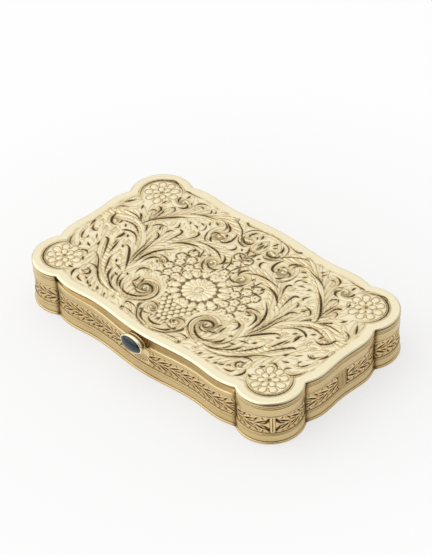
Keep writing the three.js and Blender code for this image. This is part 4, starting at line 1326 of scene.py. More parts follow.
    def bare(self, at: Array, room: float) -> bool:
        """Whether the metal round a place in the field, clear of the corner flowers, is still uncut.

        Args:
            at: the place, in drawing units.
            room: millimetres round it that have to be uncut.

        Returns:
            True where a fine cut fits.
        """
        place, off_middle = self.place([at])[0], abs(at[1] - SHEET_MIDDLE[1])
        from_corner = math.hypot(at[0] - self.CORNER_X - self.FLOWER_SHIFT, off_middle - self.CORNER_Y)
        if not PLAN.holds(*place, self.FIELD_IN) or from_corner < self.FLOWER_ROOM:
            return False
        return bool(self.patina_and_shade[self.window(place[None], room)].max(initial=0) <= self.UNCUT)

    def fine_cuts(self) -> None:
        """Small leaves, then thin cuts, where the metal is still bare; they follow the bold cuts near them."""
        lines = [flowing(np.reshape(points, (-1, 2)), 6) for _, _, *points in CUTS]
        heads = np.vstack([line[1:] for line in lines])
        ways = np.vstack([np.diff(line, axis=0) for line in lines])
        angles = 2 * np.arctan2(ways[:, 1], ways[:, 0])
        jitter = np.random.default_rng(11)
        for gap, room, leafy in ((21, 0.75, True), (12, 0.42, False)):
            for y, x in itertools.product(range(196, 836, gap), range(188, 768, gap + 2)):
                at = np.array([x, y]) + jitter.uniform(-5, 5, 2)
                if not self.bare(at, room):
                    continue
                share = 1 / (((heads - at) ** 2).sum(1) + self.SOFTENING)
                mean = math.atan2((share * np.sin(angles)).sum(), (share * np.cos(angles)).sum()) / 2
                way = np.array([math.cos(mean), math.sin(mean)])
                side = np.array([way[1], -way[0]]) * jitter.choice((-1, 1))
                if leafy:
                    width = jitter.uniform(5, 6.5)
                    self.leaf([at - way * 16, at + side * 4, at + way * 12 - side * 6], width, 0.07)
                    self.leaf([at - way * 14, at - side * 7, at + way * 2 - side * 13], 3.6, 0.06)
                else:
                    reach = jitter.uniform(9, 17)
                    path = self.place(flowing([at - way * reach, at + side * reach * 0.16, at + way * reach], 5))
                    self.line(path, spindle(len(path), 0.02, 0.12, 0.02, 0.45), 0.07, 0.8)

    def draw(self) -> None:
        """Works the whole half, the parts that lie underneath first."""
        for scrolls in (self.rosettes, self.sprays, self.borders, self.upper_scrolls, self.left_leaves,
                        self.lower_scroll):
            scrolls()
        self.height *= 0.6
        for accents in (self.edge_lines, self.corner_flowers, self.daisy, self.bold_cuts, self.fine_cuts):
            accents()
        # Painted shade round the cuts, as the relief's modelling.
        self.model(width=0.32, stain_and_shade=0.68, sunk=0.12)
        self.calm()


def relief_piece(name: str, places: Array, patina_and_shade: Array, normals: Array, keep: Array) -> Object:
    """Turns a worked sheet into a piece.

    Args:
        name: name of the piece.
        places: points in millimetres, as rows, columns and three numbers.
        patina_and_shade: patina and painted shade at each point.
        normals: which way the metal faces at each point, so that neighbours join without a seam.
        keep: which points are kept.

    Returns:
        The new object.
    """
    bm = bmesh.new()
    bmesh.ops.create_grid(bm, x_segments=places.shape[1] - 1, y_segments=places.shape[0] - 1, size=1)
    mesh = bpy.data.meshes.new(name)
    bm.to_mesh(mesh)
    bm.free()
    mesh.vertices.foreach_set("co", (places.reshape(-1) * MM).astype(np.float32))
    mesh.attributes.new("patina_and_shade", "FLOAT", "POINT").data.foreach_set("value", patina_and_shade.reshape(-1).astype(np.float32))
    facing = mesh.attributes.new("facing", "FLOAT_VECTOR", "POINT")
    facing.data.foreach_set("vector", normals.reshape(-1).astype(np.float32))
    bm = bmesh.new()
    bm.from_mesh(mesh)
    bmesh.ops.delete(bm, geom=[v for v, kept in zip(bm.verts[:], keep.reshape(-1)) if not kept], context="VERTS")
    first = next(iter(bm.faces))
    first.normal_update()
    if first.normal.dot(first.verts[0][bm.verts.layers.float_vector["facing"]]) < 0:
        bmesh.ops.reverse_faces(bm, faces=bm.faces[:])
    bm.to_mesh(mesh)
    bm.free()
    mesh.shade_smooth()
    way = np.zeros(len(mesh.vertices) * 3, np.float32)
    mesh.attributes["facing"].data.foreach_get("vector", way)
    mesh.normals_split_custom_set_from_vertices(way.reshape(-1, 3).tolist())
    mesh.attributes.remove(mesh.attributes["facing"])
    return show(name, mesh)


@dataclass
class LidTop:
    """Top plate: a plain border, narrower round the lobes, and the chased field flush with it."""

    border: float = 2.3
    lobe_border: float = 1.45
    edge: float = 0.85
    ground: float = 0.012
    step: float = 0.1
    columns: int = 420
    rows: int = 245
    lobe_field: float = 5.7
    tucked: float = 1.2

    def plate(self) -> Object:
        """The border: rolled outer edge and plain face.

        Returns:
            The piece.
        """
        low, top, edge, border = Z.plate, Z.top, self.edge, self.border
        # The tones under the rolled edge are painted shade beneath the plate's overhang.
        profile = [(0.42, low, 0.9), (0.3, low + 0.01, 0.6), (0.05, low + 0.02, 0.2), (0.0, low + 0.06),
                   (0.02, low + 0.1), (0.2, top - 0.17), (0.36, top - 0.06), (0.46, top - 0.02), (0.6, top - 0.004),
                   (edge, top), (border, top), (border, top - 0.3), (border - 0.4, low)]
        squeeze = (self.lobe_border - edge) / (border - edge)
        return moulding("lid_border", profile, in_lobes=lambda d: d if d < edge else edge + (d - edge) * squeeze)

    def field(self) -> list[Object]:
        """The chased field as four pieces that meet edge to edge.

        Returns:
            The pieces.
        """
        nx, ny = self.columns, self.rows
        sheet = LidDrawing(np.arange(-nx, 3) * self.step, np.arange(-ny, ny + 1) * self.step)
        sheet.draw()
        inner = PLAN.holds(sheet.x, sheet.y, self.border + 0.1)
        inner |= np.hypot(np.abs(sheet.x) - PLAN.lobe_x, np.abs(sheet.y) - PLAN.lobe_y) < self.lobe_field
        sheet.height[~inner] = np.minimum(sheet.height[~inner], 0.0)
        height, patina_and_shade = (np.hstack([grid[:, :nx + 1], grid[:, nx - 1::-1]]) for grid in (sheet.height, sheet.patina_and_shade))
        height = height + Z.top - self.ground
        x, y = np.meshgrid(np.arange(-nx, nx + 1) * self.step, sheet.ys)
        gy, gx = np.gradient(height, self.step)
        normals = np.stack([-gx, -gy, np.ones_like(gx)], -1)
        normals /= np.linalg.norm(normals, axis=-1, keepdims=True)
        made = []
        for end, rows in (("back", slice(ny, None)), ("front", slice(0, ny + 1))):
            for side, columns in (("left", slice(0, nx + 1)), ("right", slice(nx, None))):
                part = rows, columns
                made.append(relief_piece(f"lid_field_{side}_{end}", np.stack([x[part], y[part], height[part]], -1),
                                         patina_and_shade[part], normals[part], PLAN.holds(x[part], y[part], self.tucked)))
        return made

    def build(self) -> None:
        """Builds and dresses the top."""
        dress(self.plate(), LID_GOLD, Body.LID, "lid_plate")
        for piece in self.field():
            dress(piece, LID_GOLD, Body.LID)


# -------- side


class Laurel(Relief):
    """Laurel garland worked on a strip: x runs along the side and y up it, both in millimetres."""

    TALL = 4.5
    TIE_HALF, WOUND_HALF, FAN_HALF = 0.62, 1.4, 3.6

    def __init__(self, x: Array, y: Array) -> None:
        """Lays out the strip, with the garland along its middle.

        Args:
            x: places of its columns.
            y: places of its rows.
        """
        super().__init__(x, y)
        self.middle = (y[0] + y[-1]) / 2
        self.low, self.high = self.middle - self.TALL / 2, self.middle + self.TALL / 2

    def leaf(self, foot: Pair, tip: Pair, width: float) -> None:
        """One leaf with its vein.

        Args:
            foot: where it starts.
            tip: where it ends.
            width: its half width.
        """
        path = flowing([foot, ((foot[0] + tip[0]) / 2, foot[1] + (tip[1] - foot[1]) * 0.4), tip], 5)
        self.raised(path, spindle(len(path), width * 0.3, width, 0.03, 0.45), 0.05, 0.08, 0.07)
        self.line(path[1:-2], 0.04, 0.05, 0.6)

    def stroke(self, foot: Pair, tip: Pair, width: float) -> None:
        """One bold tapered cut."""
        self.groove(np.linspace(foot, tip, 5), spindle(5, 0.04, width, 0.03, 0.4), 0.13)

    def run(self, start: float, end: float, pitch: float = 3.5) -> None:
        """Pairs of long leaves that point from start to end, with berries above and below.

        Args:
            start: where the garland starts.
            end: where it ends.
            pitch: distance from one pair to the next.
        """
        count = max(1, round(abs(end - start) / pitch))
        span = (end - start) / count

        def at(i: int, along: float, off: float) -> Pair:
            """A place by pair, share of the pair's length, and millimetres off the middle line."""
            return start + span * (i + along), self.middle + off

        for i in reversed(range(count)):
            for up in (-1, 1):
                self.raised(np.array([at(i, 0.42, up * 1.83), at(i, 0.44, up * 1.83)]), 0.22, 0.08, 0.1)
                self.leaf(at(i, 0.02, up * 0.5), at(i, 1.12, up * 2.13), 0.5)
                self.leaf(at(i, 0.3, up * 0.12), at(i, 1.28, up * 1.4), 0.42)
            self.leaf(at(i, 0.1, 0.0), at(i, 1.1, 0.0), 0.3)
        for i in range(count):
            for up in (-1, 1):
                self.stroke(at(i, 0.12, up * 0.2), at(i, 1.05, up * 1.55), 0.29)
                self.stroke(at(i, 0.5, up * 0.15), at(i, 1.2, up * 0.85), 0.19)
                self.stroke(at(i, 0.05, up * 1.0), at(i, 0.36, up * 2.15), 0.24)
                self.stroke(at(i, 0.62, up * 2.2), at(i, 0.8, up * 1.7), 0.2)

    def upright(self, x: float, inset: float = 0.0) -> Array:
        """An upright line over the garland's height, shortened by an inset at both ends."""
        return np.array([(x, self.low + inset), (x, self.high - inset)])

    def tie(self) -> None:
        """A ribbon tie across the middle, with dark triangles beside it."""
        half = self.TIE_HALF
        for side in (-1, 1):
            for up in (-1, 1):
                corner = (side * (half + 0.25), self.middle + up * 1.6), (side * (half + 1.5), self.middle + up * 0.3)
                self.groove(np.array(corner), (0.42, 0.1), 0.14)
        self.raised(self.upright(0.0), half, 0.1, 0.16)
        self.groove(self.upright(0.0, 0.1), 0.12, 0.12)

    def wound_tie(self) -> None:
        """A ribbon wound round the middle of the garland."""
        half = self.WOUND_HALF
        self.raised(self.upright(0.0), half, 0.08, 0.16)
        for share in (-0.7, -0.35, 0.0, 0.35, 0.7):
            self.groove(self.upright(share * half, 0.1), 0.13, 0.12)
        for side in (-1, 1):
            self.groove(self.upright(side * (half + 0.25), 0.4), 0.2, 0.14)

    def rays(self) -> None:
        """Short flutes that fan out under the push piece."""
        x, wide = PUSH.x, self.FAN_HALF
        bare = np.abs(self.x - x) < wide
        self.height[bare] = self.patina_and_shade[bare] = 0.0
        for share in np.linspace(-1, 1, 13):
            top = x + share * wide * 0.62, self.low + 2.9
            foot = x + share * wide, self.low + 0.5 + 1.3 * abs(share) ** 3
            self.groove(np.array([top, foot]), (0.05, 0.14), 0.12)

    def draw(self, garland: Garland) -> None:
        """Works the whole length.

        Args:
            garland: where its leaves meet.
        """
        end = self.xs[-1]
        if garland is Garland.LOBE_TIE:
            self.run(end, 1.4, 2.9)
            self.run(-end, -1.4, 2.9)
            self.tie()
        elif garland is Garland.RAYS:
            self.run(PUSH.x + 2.4, end)
            self.run(PUSH.x - 2.4, -end)
            self.rays()
        else:
            self.run(1.2, end)
            self.run(-1.2, -end)
            self.wound_tie()
        self.calm()


@dataclass
class SideBand:
    """Side strip: reeds, laurel field and fillet, with the worked field laid in."""

    reed: float = 0.4
    fillet: float = 0.3
    step: float = 0.1
    low: float = 3.35
    high: float = 8.3
    deepest: float = 0.2
    end_shade: float = 0.95
    end_reach: float = 0.9

    def strip(self) -> Object:
        """The mouldings above and below the field.

        Returns:
            The piece.
        """
        z, f, r, top, edge = Z.band, Z.wall_face, self.reed, Z.top_rim, self.high + Z.seam
        # The tones are patina and painted shade in the creases between the reeds and round the laurel field.
        reeds = [(f + 0.12 - 0.18 * math.cos(a), z + r * k + 0.2 * math.sin(a), 0.9 * abs(math.sin(a)) ** 6)
                 for k in (0.5, 1.5) for a in np.radians(np.linspace(-80, 80, 7))]
        return moulding("wall_mouldings", [
            (Z.wall_in, z), (f + 0.14, z, 1.0), *reeds, (f + 0.2, z + 2 * r, 1.0), (0.55, z + 2 * r + 0.08, 1.0),
            (0.55, edge, 1.0), (f + 0.2, edge, 1.0), (f + 0.02, top - self.fillet + 0.06, 0.2), (f, top - 0.1),
            (f + 0.06, top - 0.03, 0.6), (Z.wall_in, top - Z.seam)])

    def field(self, name: str, path: Array, garland: Garland) -> Object:
        """One worked length of the field.

        Args:
            name: name of the piece.
            path: points along the field's face, in plan.
            garland: where its leaves meet.

        Returns:
            The piece.
        """
        run = travelled(path)
        s = np.linspace(0, run[-1], int(run[-1] / self.step) + 1)
        at = pick(path, run, s)
        z = np.linspace(self.low, self.high, int((self.high - self.low) / self.step) + 1)
        sheet = Laurel(s - run[-1] / 2, z)
        sheet.draw(garland)
        from_end = run[-1] / 2 - np.abs(sheet.x)
        # Painted shade at both ends of the field, where it runs into a notch.
        patina_and_shade = np.maximum(sheet.patina_and_shade, self.end_shade * np.exp(-((from_end / self.end_reach) ** 2)))
        out = heading(at)[1]
        plan = at + out * np.clip(sheet.height, -self.deepest, self.deepest)[..., None]
        places = np.concatenate([plan, sheet.y[..., None]], -1)
        normals = np.cross(np.gradient(places, axis=1), np.gradient(places, axis=0))
        normals /= np.linalg.norm(normals, axis=-1, keepdims=True)
        normals *= np.sign((normals[..., :2] * out).sum(-1, keepdims=True))
        keep = np.ones(patina_and_shade.shape, bool)
        if garland is Garland.RAYS:
            keep = PUSH.clears(places[..., 0], places[..., 2])
        return relief_piece(name, places, patina_and_shade, normals, keep)

    def build(self) -> None:
        """Builds and dresses the band."""
        dress(cut(self.strip(), PUSH.opening()), SHADED_WALL_GOLD, Body.BODY, "wall_band")
        (long, short), (nx, ny) = PLAN.sides(Z.field_face), PLAN.corners(Z.field_face)
        x, y = np.linspace(-nx, nx, 600), np.linspace(-ny, ny, 300)
        lobe = PLAN.arc(Z.field_face, np.linspace(0, 1, 300))
        for name, path, garland in (
            ("laurel_front", np.stack([x, -long(x)], 1), Garland.RAYS),
            ("laurel_back", np.stack([-x, long(x)], 1), Garland.WOUND_TIE),
            ("laurel_right", np.stack([short(y), y], 1), Garland.WOUND_TIE),
            ("laurel_left", np.stack([-short(y), -y], 1), Garland.WOUND_TIE),
            ("laurel_lobe_back_right", lobe, Garland.LOBE_TIE),
            ("laurel_lobe_back_left", (lobe * [-1, 1])[::-1], Garland.LOBE_TIE),
            ("laurel_lobe_front_left", lobe * [-1, -1], Garland.LOBE_TIE),
            ("laurel_lobe_front_right", (lobe * [1, -1])[::-1], Garland.LOBE_TIE),
        ):
            dress(self.field(name, path, garland), SHADED_LAUREL_GOLD, Body.BODY)


# -------- push piece and hinge


@dataclass(frozen=True)
class PushPiece:
    """Oval stone in a cup that slides in a fixed collar."""

    x: float = -0.6
    z: float = 9.85
    half_w: float = 3.2
    half_h: float = 2.0
    cup_wall: float = 0.45
    collar_wall: float = 0.3
    neck_in: float = 0.45
    gap: float = 0.1
    flange_out: float = 0.6
    cup_out: float = 0.7
    cup_length: float = 0.8
    stone_in: float = 0.22
    girdle: float = 0.35
    dome: float = 1.2

    @property
    def outline_y(self) -> float:
        """Y of the box's side at the push piece."""
        return -float(PLAN.long_side(self.x))

    @property
    def collar_front(self) -> float:
        """Y of the collar's flange."""
        return self.outline_y - self.flange_out

    @property
    def cup_back(self) -> float:
        """Y of the cup's back."""
        return self.collar_front - self.cup_out

    @property
    def wall_back(self) -> float:
        """Y of the wall's inner face."""
        return self.outline_y + Z.wall_in

    def clears(self, x: Array, z: Array) -> Array:
        """Whether places on the front lie outside the collar."""
        return ((x - self.x) / (self.half_w + 0.02)) ** 2 + ((z - self.z) / (self.half_h + 0.02)) ** 2 > 1

    def oval(self, name: str, profile: Profile, ring: bool = False, stone: bool = False) -> Object:
        """An oval form about the push axis.

        Args:
            name: name of the piece.
            profile: offset from the stone's edge, y and, if wanted, patina with painted shade.
            ring: whether the profile is closed.
            stone: whether the offsets are shares of the stone's size instead.

        Returns:
            The new object.
        """
        a = np.linspace(0, 2 * np.pi, 96 if stone else 112, endpoint=False)
        size = np.array([self.half_w, self.half_h])

        def at(offset: float) -> Array:
            """The oval at one offset, as x and z."""
            w, h = size * offset if stone else size + offset
            return np.stack([self.x + w * np.cos(a), self.z + h * np.sin(a)], 1)

        rows, tones = sweep(profile, at)
        return skin(name, rows[..., [0, 2, 1]], tones, True, ring)

    def opening(self) -> Object:
        """The hole that the collar passes through, as a closed mesh to cut with."""
        edge = -self.neck_in + self.gap + self.collar_wall
        return self.oval("opening", [(edge, self.outline_y - 1), (edge, self.wall_back + 1)])

    def collar(self) -> Object:
        """Fixed collar with its rolled flange.

        Returns:
            The piece.
        """
        bore, tube, front = -self.neck_in + self.gap, -0.05, self.collar_front
        # The tones are patina and painted shade in the bore and where the flange meets the wall.
        profile = [(bore, self.wall_back), (bore, front + 0.06), (bore + 0.06, front, 0.3), (0.0, front),
                   (0.1, front + 0.04), (0.14, front + 0.13), (0.15, front + 0.3), (0.12, front + 0.42, 0.4),
                   (0.05, front + 0.46, 1.0), (tube, front + 0.52, 1.0), (tube, self.wall_back)]
        return self.oval("push_collar_finished", profile, True)

    def collet(self) -> Object:
        """Cup with a rounded edge and the neck behind it.

        Returns:
            The piece.
        """
        back, front, w, neck = self.cup_back, self.cup_back - self.cup_length, self.cup_wall, -self.neck_in
        # The tones are patina and painted shade at the neck and inside the cup round the stone.
        profile = [(neck, self.wall_back - 0.1), (neck, back + 0.03, 0.8), (neck + 0.04, back, 0.8), (w * 0.6, back),
                   (w * 0.88, back - 0.05), (w, back - 0.16), (w, front + 0.34), (w * 0.94, front + 0.2),
                   (w * 0.78, front + 0.08), (w * 0.5, front), (0.14, front), (0.06, front + 0.05, 0.6),
                   (0.05, front + 0.12, 1.0), (0.05, back - 0.2, 1.0)]
        return self.oval("push_collet_finished", profile)

    def stone(self) -> Object:
        """Oval cabochon: flat back, girdle and dome.

        Returns:
            The piece.
        """
        back = self.cup_back - self.stone_in
        girdle = back - self.girdle
        dome = [(math.cos(a), girdle - self.dome * math.sin(a)) for a in np.linspace(0, math.pi / 2, 22)[1:]]
        profile = [(0.0, back), (0.93, back), (1.0, back - 0.06), (1.0, girdle), *dome]
        return self.oval("cabochon_stone", profile, stone=True)

    def build(self) -> None:
        """Builds and dresses the push piece."""
        dress(self.collar(), SHADED_WALL_GOLD, Body.BODY, "push_collar")
        dress(self.collet(), CUP_GOLD, Body.PUSH, "push_collet")
        dress(self.stone(), STONE, Body.PUSH, "cabochon")
        dress(carried("push_stem", 35.0), INNER_GOLD, Body.PUSH, "push_stem")


PUSH = PushPiece()


@dataclass(frozen=True)
class Hinge:
    """Seven knuckles on one pin."""

    y: float = 26.2
    z: float = 10.0
    barrel: float = 0.75
    bore: float = 0.4
    pitch: float = 3.0
    gap: float = 0.12
    softening: float = 0.08
    room: float = 0.1
    length: float = 23.0
    count: int = 7

    def hollow(self) -> Object:
        """The room that the barrel needs in the wall, as a rod to cut with.

        Returns:
            A closed mesh.
        """
        turn = Matrix.Translation(Vector((0, self.y, self.z)) * MM) @ Matrix.Rotation(math.pi / 2, 4, "Y")
        radius, bm = (self.barrel + self.room) * MM, bmesh.new()
        bmesh.ops.create_cone(bm, cap_ends=True, segments=64, radius1=radius, radius2=radius, depth=self.length * MM,
                              matrix=turn)
        return finish_mesh("rod", bm)

    def knuckle(self, name: str, x: float) -> Object:
        """One tube with softened ends, spun about the pin.

        Args:
            name: name of the piece.
            x: its middle along the pin.

        Returns:
            The piece.
        """
        half, bore, r = (self.pitch - self.gap) / 2, self.bore, self.barrel
        p, bm, ring = np.array([(bore, -half), (r, -half), (r, half), (bore, half)]), bmesh.new(), []
        for before, here, after in zip(np.roll(p, 1, 0), p, np.roll(p, -1, 0)):
            start, end = (here + (to - here) * self.softening / np.hypot(*(to - here)) for to in (before, after))
            for out, along in (start, (start + 2 * here + end) / 4, end):
                ring.append(bm.verts.new(Vector((x + along, self.y + out, self.z)) * MM))
        edges = [bm.edges.new(pair) for pair in zip(ring, ring[1:] + ring[:1])]
        bmesh.ops.spin(bm, geom=ring + edges, cent=Vector((x, self.y, self.z)) * MM, axis=(1, 0, 0),
                       angle=2 * math.pi, steps=48, use_merge=True)
        bmesh.ops.remove_doubles(bm, verts=bm.verts[:], dist=1e-7)
        bmesh.ops.recalc_face_normals(bm, faces=bm.faces[:])
        return finish_mesh(name, bm)

    def build(self) -> None:
        """Builds and dresses the hinge."""
        for i in range(self.count):
            owner = Body.LID if i % 2 else Body.BODY
            node = f"{owner.value}_knuckle_{i // 2 + 1}"
            dress(self.knuckle(f"{node}_finished", (i - (self.count - 1) / 2) * self.pitch), HINGE_GOLD, owner, node)
        dress(carried("hinge_pin"), PIN_STEEL, Body.BODY, "hinge_pin")
        for owner in (Body.BODY, Body.LID):
            node = f"{owner.value}_hinge_bearer"
            dress(carried(node, edge=0.05), HINGE_GOLD, owner, node)


HINGE = Hinge()


# -------- mouldings and inside


@dataclass
class Mouldings:
    """Plain bands and mouldings of body and lid."""

    lip_x: tuple[float, ...] = (-30.0, -22.0, -14.0, -8.0, 5.0, 22.0, 30.0)
    lip_z: tuple[float, ...] = (10.4, 10.15, 9.5, 9.0, 9.4, 9.55, 9.8)
    ledge: float = 0.6
    rail_depth: float = 2.1

    def base_rim(self) -> Object:
        """Foot roll, plain lower band and the ledge over the floor panel.

        Returns:
            The piece.
        """
        f, band, inner, floor = Z.wall_face, Z.band, Z.wall_in, Z.floor + Z.seam
        # The tones are patina and painted shade in the creases of the foot roll and at the joints above it.
        roll = [(0.12 - 0.32 * math.cos(a), 0.33 + 0.33 * math.sin(a), 0.25 * max(0.0, abs(math.sin(a)) - 0.6))
                for a in np.linspace(-math.pi / 2, math.pi / 2, 11)]
        ledge, over = inner + self.ledge, floor + 0.3
        return moulding("base_moulding", [
            (inner + Z.seam, 0.0), *roll, (0.22, 0.7, 1.0), (0.22, 0.78, 1.0), (0.12, 0.82, 0.3), (f, 0.9),
            (f, band - 0.12), (0.14, band - 0.04, 0.4), (0.3, band - Z.seam, 1.0), (inner, band - Z.seam),
            (inner, over), (ledge, over), (ledge, floor), (inner + Z.seam, floor)])

    def top_rim(self) -> Object:
        """Plain upper band with the bevel along the front.

        Returns:
            The piece.
        """
        f, split, foot = Z.wall_face, Z.split, Z.top_rim
        # Tones: a dark joint at the foot, and painted shade on the top edge by the split, under the lid.
        low = [(Z.wall_in, foot), (f + 0.16, foot, 1.0), (f + 0.03, foot + 0.05, 0.3)]
        profile = [*low, (f, foot + 0.12), (f, split - 0.5), (f, split - 0.3), (f, split - 0.14),
                   (f + 0.01, split - 0.11), (f + 0.03, split - 0.07), (f + 0.07, split - 0.02, 0.2),
                   (f + 0.15, split, 0.6), (Z.wall_in, split)]

        def cove(x: Array) -> list[tuple]:
            """The lower half of the thumb groove; its lip dips towards the push piece, and its hollow carries painted
            shade under the lid's overhang.

            Args:
                x: places along the front.

            Returns:
                The profile, with heights by place.
            """
            lip = np.interp(x, self.lip_x, self.lip_z)
            rise = split - lip
            return [*low, (f, foot + 0.1), (f, lip - 0.28), (f + 0.02, lip - 0.12), (f + 0.1, lip - 0.02),
                    (f + 0.24, lip + 0.06, 0.1), (f + 0.36, lip + 0.14, 0.6), (f + 0.55, lip + rise * 0.35, 0.45),
                    (f + 0.76, lip + rise * 0.72, 0.3), (Z.wall_in, split, 0.5)]

        return moulding("body_upper_band", profile, front=cove)

    def lid_rim(self) -> Object:
        """Reeded rim of the lid, left out along the front.

        Returns:
            The piece.
        """
        f, z, top, inner, half = Z.wall_face, Z.lid, Z.plate - Z.seam, 0.92, PLAN.groove_half + 0.1
        middle = z + 0.8
        bead = [(0.16 - 0.16 * math.cos(a), middle + 0.24 * math.sin(a), 0.3 * max(0.0, abs(math.sin(a)) - 0.7))
                for a in np.linspace(-1.45, 1.45, 9)]
        # Tones: painted shade in the split at the foot, patina and painted shade in the groove under the bead, and a
        # painted dark reflection with painted shade in the cove under the plate.
        profile = [(inner, z), (f + 0.14, z, 0.8), (f + 0.04, z + 0.05, 0.2), (f, z + 0.14), (f, z + 0.36),
                   (f + 0.12, z + 0.44, 1.0), (f + 0.12, z + 0.5, 1.0), *bead, (0.24, middle + 0.3, 1.0),
                   (0.42, middle + 0.36, 1.0), (0.5, middle + 0.46, 0.9), (0.42, top, 0.8), (inner, top)]
        return moulding("lid_rim_moulding", profile, lambda p: (np.abs(p[:, 0]) >= half) | (p[:, 1] >= -PLAN.lobe_y))

    def thumb_rail(self) -> Object:
        """Front of the lid rim, hollowed for the thumb.

        Returns:
            The piece.
        """
        high, low, x = Z.plate - Z.seam, Z.lid, np.linspace(-PLAN.groove_half, PLAN.groove_half, 241)
        profile = []
        for t in np.linspace(0, 1, 12):
            # Painted shade in the hollow: darkest just under the plate's overhang, and darker again down towards the
            # lid's lower edge.
            dark = 0.15 + 0.5 * math.exp(-((t / 0.22) ** 2)) + 0.3 * t**3
            profile.append((0.15 + 0.77 * t**0.85, high + (low - high) * t, dark))
        profile += [(self.rail_depth, low), (self.rail_depth, high)]
        rows, tones = sweep(profile, lambda d: np.stack([x, -PLAN.sides(d)[0](x)], 1))
        return skin("thumb_groove", rows, tones, round_columns=True)

    def build(self) -> None:
        """Builds and dresses the mouldings."""
        dress(self.base_rim(), SHADED_WALL_GOLD, Body.BODY, "base_rim")
        dress(cut(self.top_rim(), PUSH.opening(), HINGE.hollow()), SHADED_WALL_GOLD, Body.BODY, "top_rim")
        dress(self.lid_rim(), SHADED_WALL_GOLD, Body.LID, "lid_rim")
        dress(cut(self.thumb_rail(), PUSH.opening()), SHADED_WALL_GOLD, Body.LID, "thumb_rail")


@dataclass(frozen=True)
class Inside:
    """Linings, floor, catch and spring, carried over from the CAD with softened edges."""

    edge: float = 0.05
    spring_edge: float = 0.03

    def build(self) -> None:
        """Builds and dresses the inside."""
        for node, finish, body, edge in (
            ("base_plate", SHADED_WALL_GOLD, Body.BODY, self.edge),
            ("body_lining", INNER_GOLD, Body.BODY, self.edge),
            ("catch_cover", INNER_GOLD, Body.BODY, 0.0),
            ("lid_lining", INNER_GOLD, Body.LID, self.edge),
            ("keeper", SHADED_WALL_GOLD, Body.LID, self.edge),
            ("spring_block", SHADED_WALL_GOLD, Body.BODY, self.edge),
            ("spring_rivet_1", PIN_STEEL, Body.BODY, 0.0),
            ("spring_rivet_2", PIN_STEEL, Body.BODY, 0.0),
            ("catch_spring", SPRING_STEEL, Body.CATCH, self.spring_edge),
            ("catch_nose", SPRING_STEEL, Body.CATCH, self.spring_edge),
        ):
            dress(carried(node, edge=edge), finish, body, node)


# -------- studio


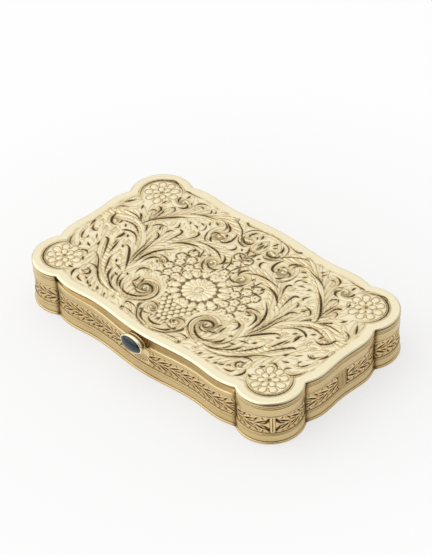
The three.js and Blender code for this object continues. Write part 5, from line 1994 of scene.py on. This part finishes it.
@dataclass
class Studio:
    """White table, white surroundings, soft lamps and the camera of the photo."""

    white: float = 0.95
    glow: float = 0.9
    painted_shadow_glow: float = 0.62
    painted_shadow_span: Pair = (0.05, 0.11)
    shine: float = 0.4
    below: float = 0.00005
    lamps: tuple[tuple[str, Triple, float, float], ...] = (
        ("key_lamp", (-0.8, -0.5, 0.7), 1.4, 4.3),
        ("top_lamp", (0.1, -0.1, 1.0), 0.7, 0.9),
        ("fill_lamp", (0.0, -1.0, 0.75), 1.0, 2.0),
    )
    sky: tuple[tuple, ...] = (
        ((-0.5, 0.5, 0.62), 0.2, 0.85, 0.6, 0.95),
        ((0.5, -0.5, 0.6), 0.80, 0.97, 1.0, 0.12),
        ((0.0, 0.0, 1.0), 0.1, 0.42, 0.3, 1.0),
    )
    focal: float = 1973.8
    height: int = 555
    turn: Triple = (2.317, -50.593, -45.14)
    shift: Triple = (-0.467, -10.591, -493.65)

    def table(self) -> None:
        """Plain white table; its glow drops close to the box as a painted shadow, and is less again in reflections."""
        bm = bmesh.new()
        bmesh.ops.create_grid(bm, x_segments=1, y_segments=1, size=3.0)
        for vert in bm.verts:
            vert.co.z = -self.below
        floor, made, white = finish_mesh("table_top", bm), bpy.data.materials.new("white_table"), self.white
        w = blank(made)
        place = w.add("TexCoord").outputs["Object"]
        colour = w.mix(w.noise(place, 60.0, 3.0), (white, white, white, 1), (white, white, white * 0.995, 1))
        cloth = w.add("BsdfPrincipled", {"Base Color": colour, "Roughness": 0.9, "Specular IOR Level": 0.0})
        light = w.add("LightPath").outputs
        mirrored = w.sum("ADD", light["Is Glossy Ray"], light["Is Transmission Ray"])
        far = w.add("VectorMath", {0: place}, operation="LENGTH").outputs["Value"]
        # Painted shadow: the floor's glow drops close to the box, between the two distances of the span.
        straight = w.sum("MULTIPLY", light["Is Camera Ray"], w.spread(far, *self.painted_shadow_span, self.painted_shadow_glow, self.glow))
        seen = w.sum("ADD", straight, w.sum("MULTIPLY", mirrored, self.shine))
        glow = w.add("Emission", {"Color": (1.0, 1.0, 1.0, 1.0), "Strength": 1.0})
        both = w.add("MixShader", {0: seen, 1: cloth.outputs[0], 2: glow.outputs[0]})
        w.add("OutputMaterial", {"Surface": both.outputs[0]})
        floor.data.materials.append(made)

    def lamp(self, name: str, place: Triple, size: float, power: float) -> None:
        """A square soft lamp that faces the box.

        Args:
            name: name of the lamp.
            place: where it hangs, in metres.
            size: length of its side, in metres.
            power: its power, in watts.
        """
        data = bpy.data.lights.new(name, "AREA")
        data.size, data.energy = size, power
        obj = bpy.data.objects.new(name, data)
        obj.location = place
        obj.rotation_euler = (-Vector(place)).to_track_quat("-Z", "Y").to_euler()
        bpy.context.scene.collection.objects.link(obj)

    def surroundings(self) -> None:
        """White for the camera; for the metal, bright at the back left, dark at the front right and low down.

        Each row of sky is a direction, the cosines to it where the light starts and ends to change, and both levels.
        """
        world = bpy.data.worlds.new("white_room")
        w = blank(world)
        way, strength = w.add("TexCoord").outputs["Generated"], 1.0
        for toward, *levels in self.sky:
            facing = w.add("VectorMath", {0: way, 1: Vector(toward).normalized()}, operation="DOT_PRODUCT")
            strength = w.sum("MULTIPLY", strength, w.spread(facing.outputs["Value"], *levels))
        seen = w.add("LightPath").outputs["Is Camera Ray"]
        back = w.add("Background", {"Color": (1.0, 1.0, 1.0, 1.0), "Strength": w.sum("MAXIMUM", seen, strength)})
        w.add("OutputWorld", {"Surface": back.outputs[0]})
        bpy.context.scene.world = world

    def camera(self) -> None:
        """The camera, stood where the photo was taken."""
        turn = Matrix.Identity(3)
        for degrees, axis in zip(self.turn, "ZXZ"):
            turn = turn @ Matrix.Rotation(math.radians(degrees), 3, axis)
        place = turn.transposed().to_4x4()
        place.translation = -(turn.transposed() @ Vector(self.shift)) * MM
        data = bpy.data.cameras.new("photo_camera")
        data.sensor_fit, data.sensor_width = "AUTO", 36.0
        data.lens = self.focal * data.sensor_width / self.height
        data.clip_start, data.clip_end = 0.01, 20.0
        cam = bpy.data.objects.new("photo_camera", data)
        cam.matrix_world = place
        bpy.context.scene.collection.objects.link(cam)
        bpy.context.scene.camera = cam

    def build(self) -> None:
        """Sets the studio up."""
        bpy.context.scene.view_settings.view_transform = "Standard"
        self.table()
        self.surroundings()
        for lamp in self.lamps:
            self.lamp(*lamp)
        self.camera()


def main() -> None:
    """Builds every part in order."""
    logging.basicConfig(level=logging.INFO, format="%(name)s: %(message)s")
    LidTop().build()
    SideBand().build()
    Mouldings().build()
    PUSH.build()
    HINGE.build()
    Inside().build()
    Studio().build()


if __name__ == "__main__":
    main()
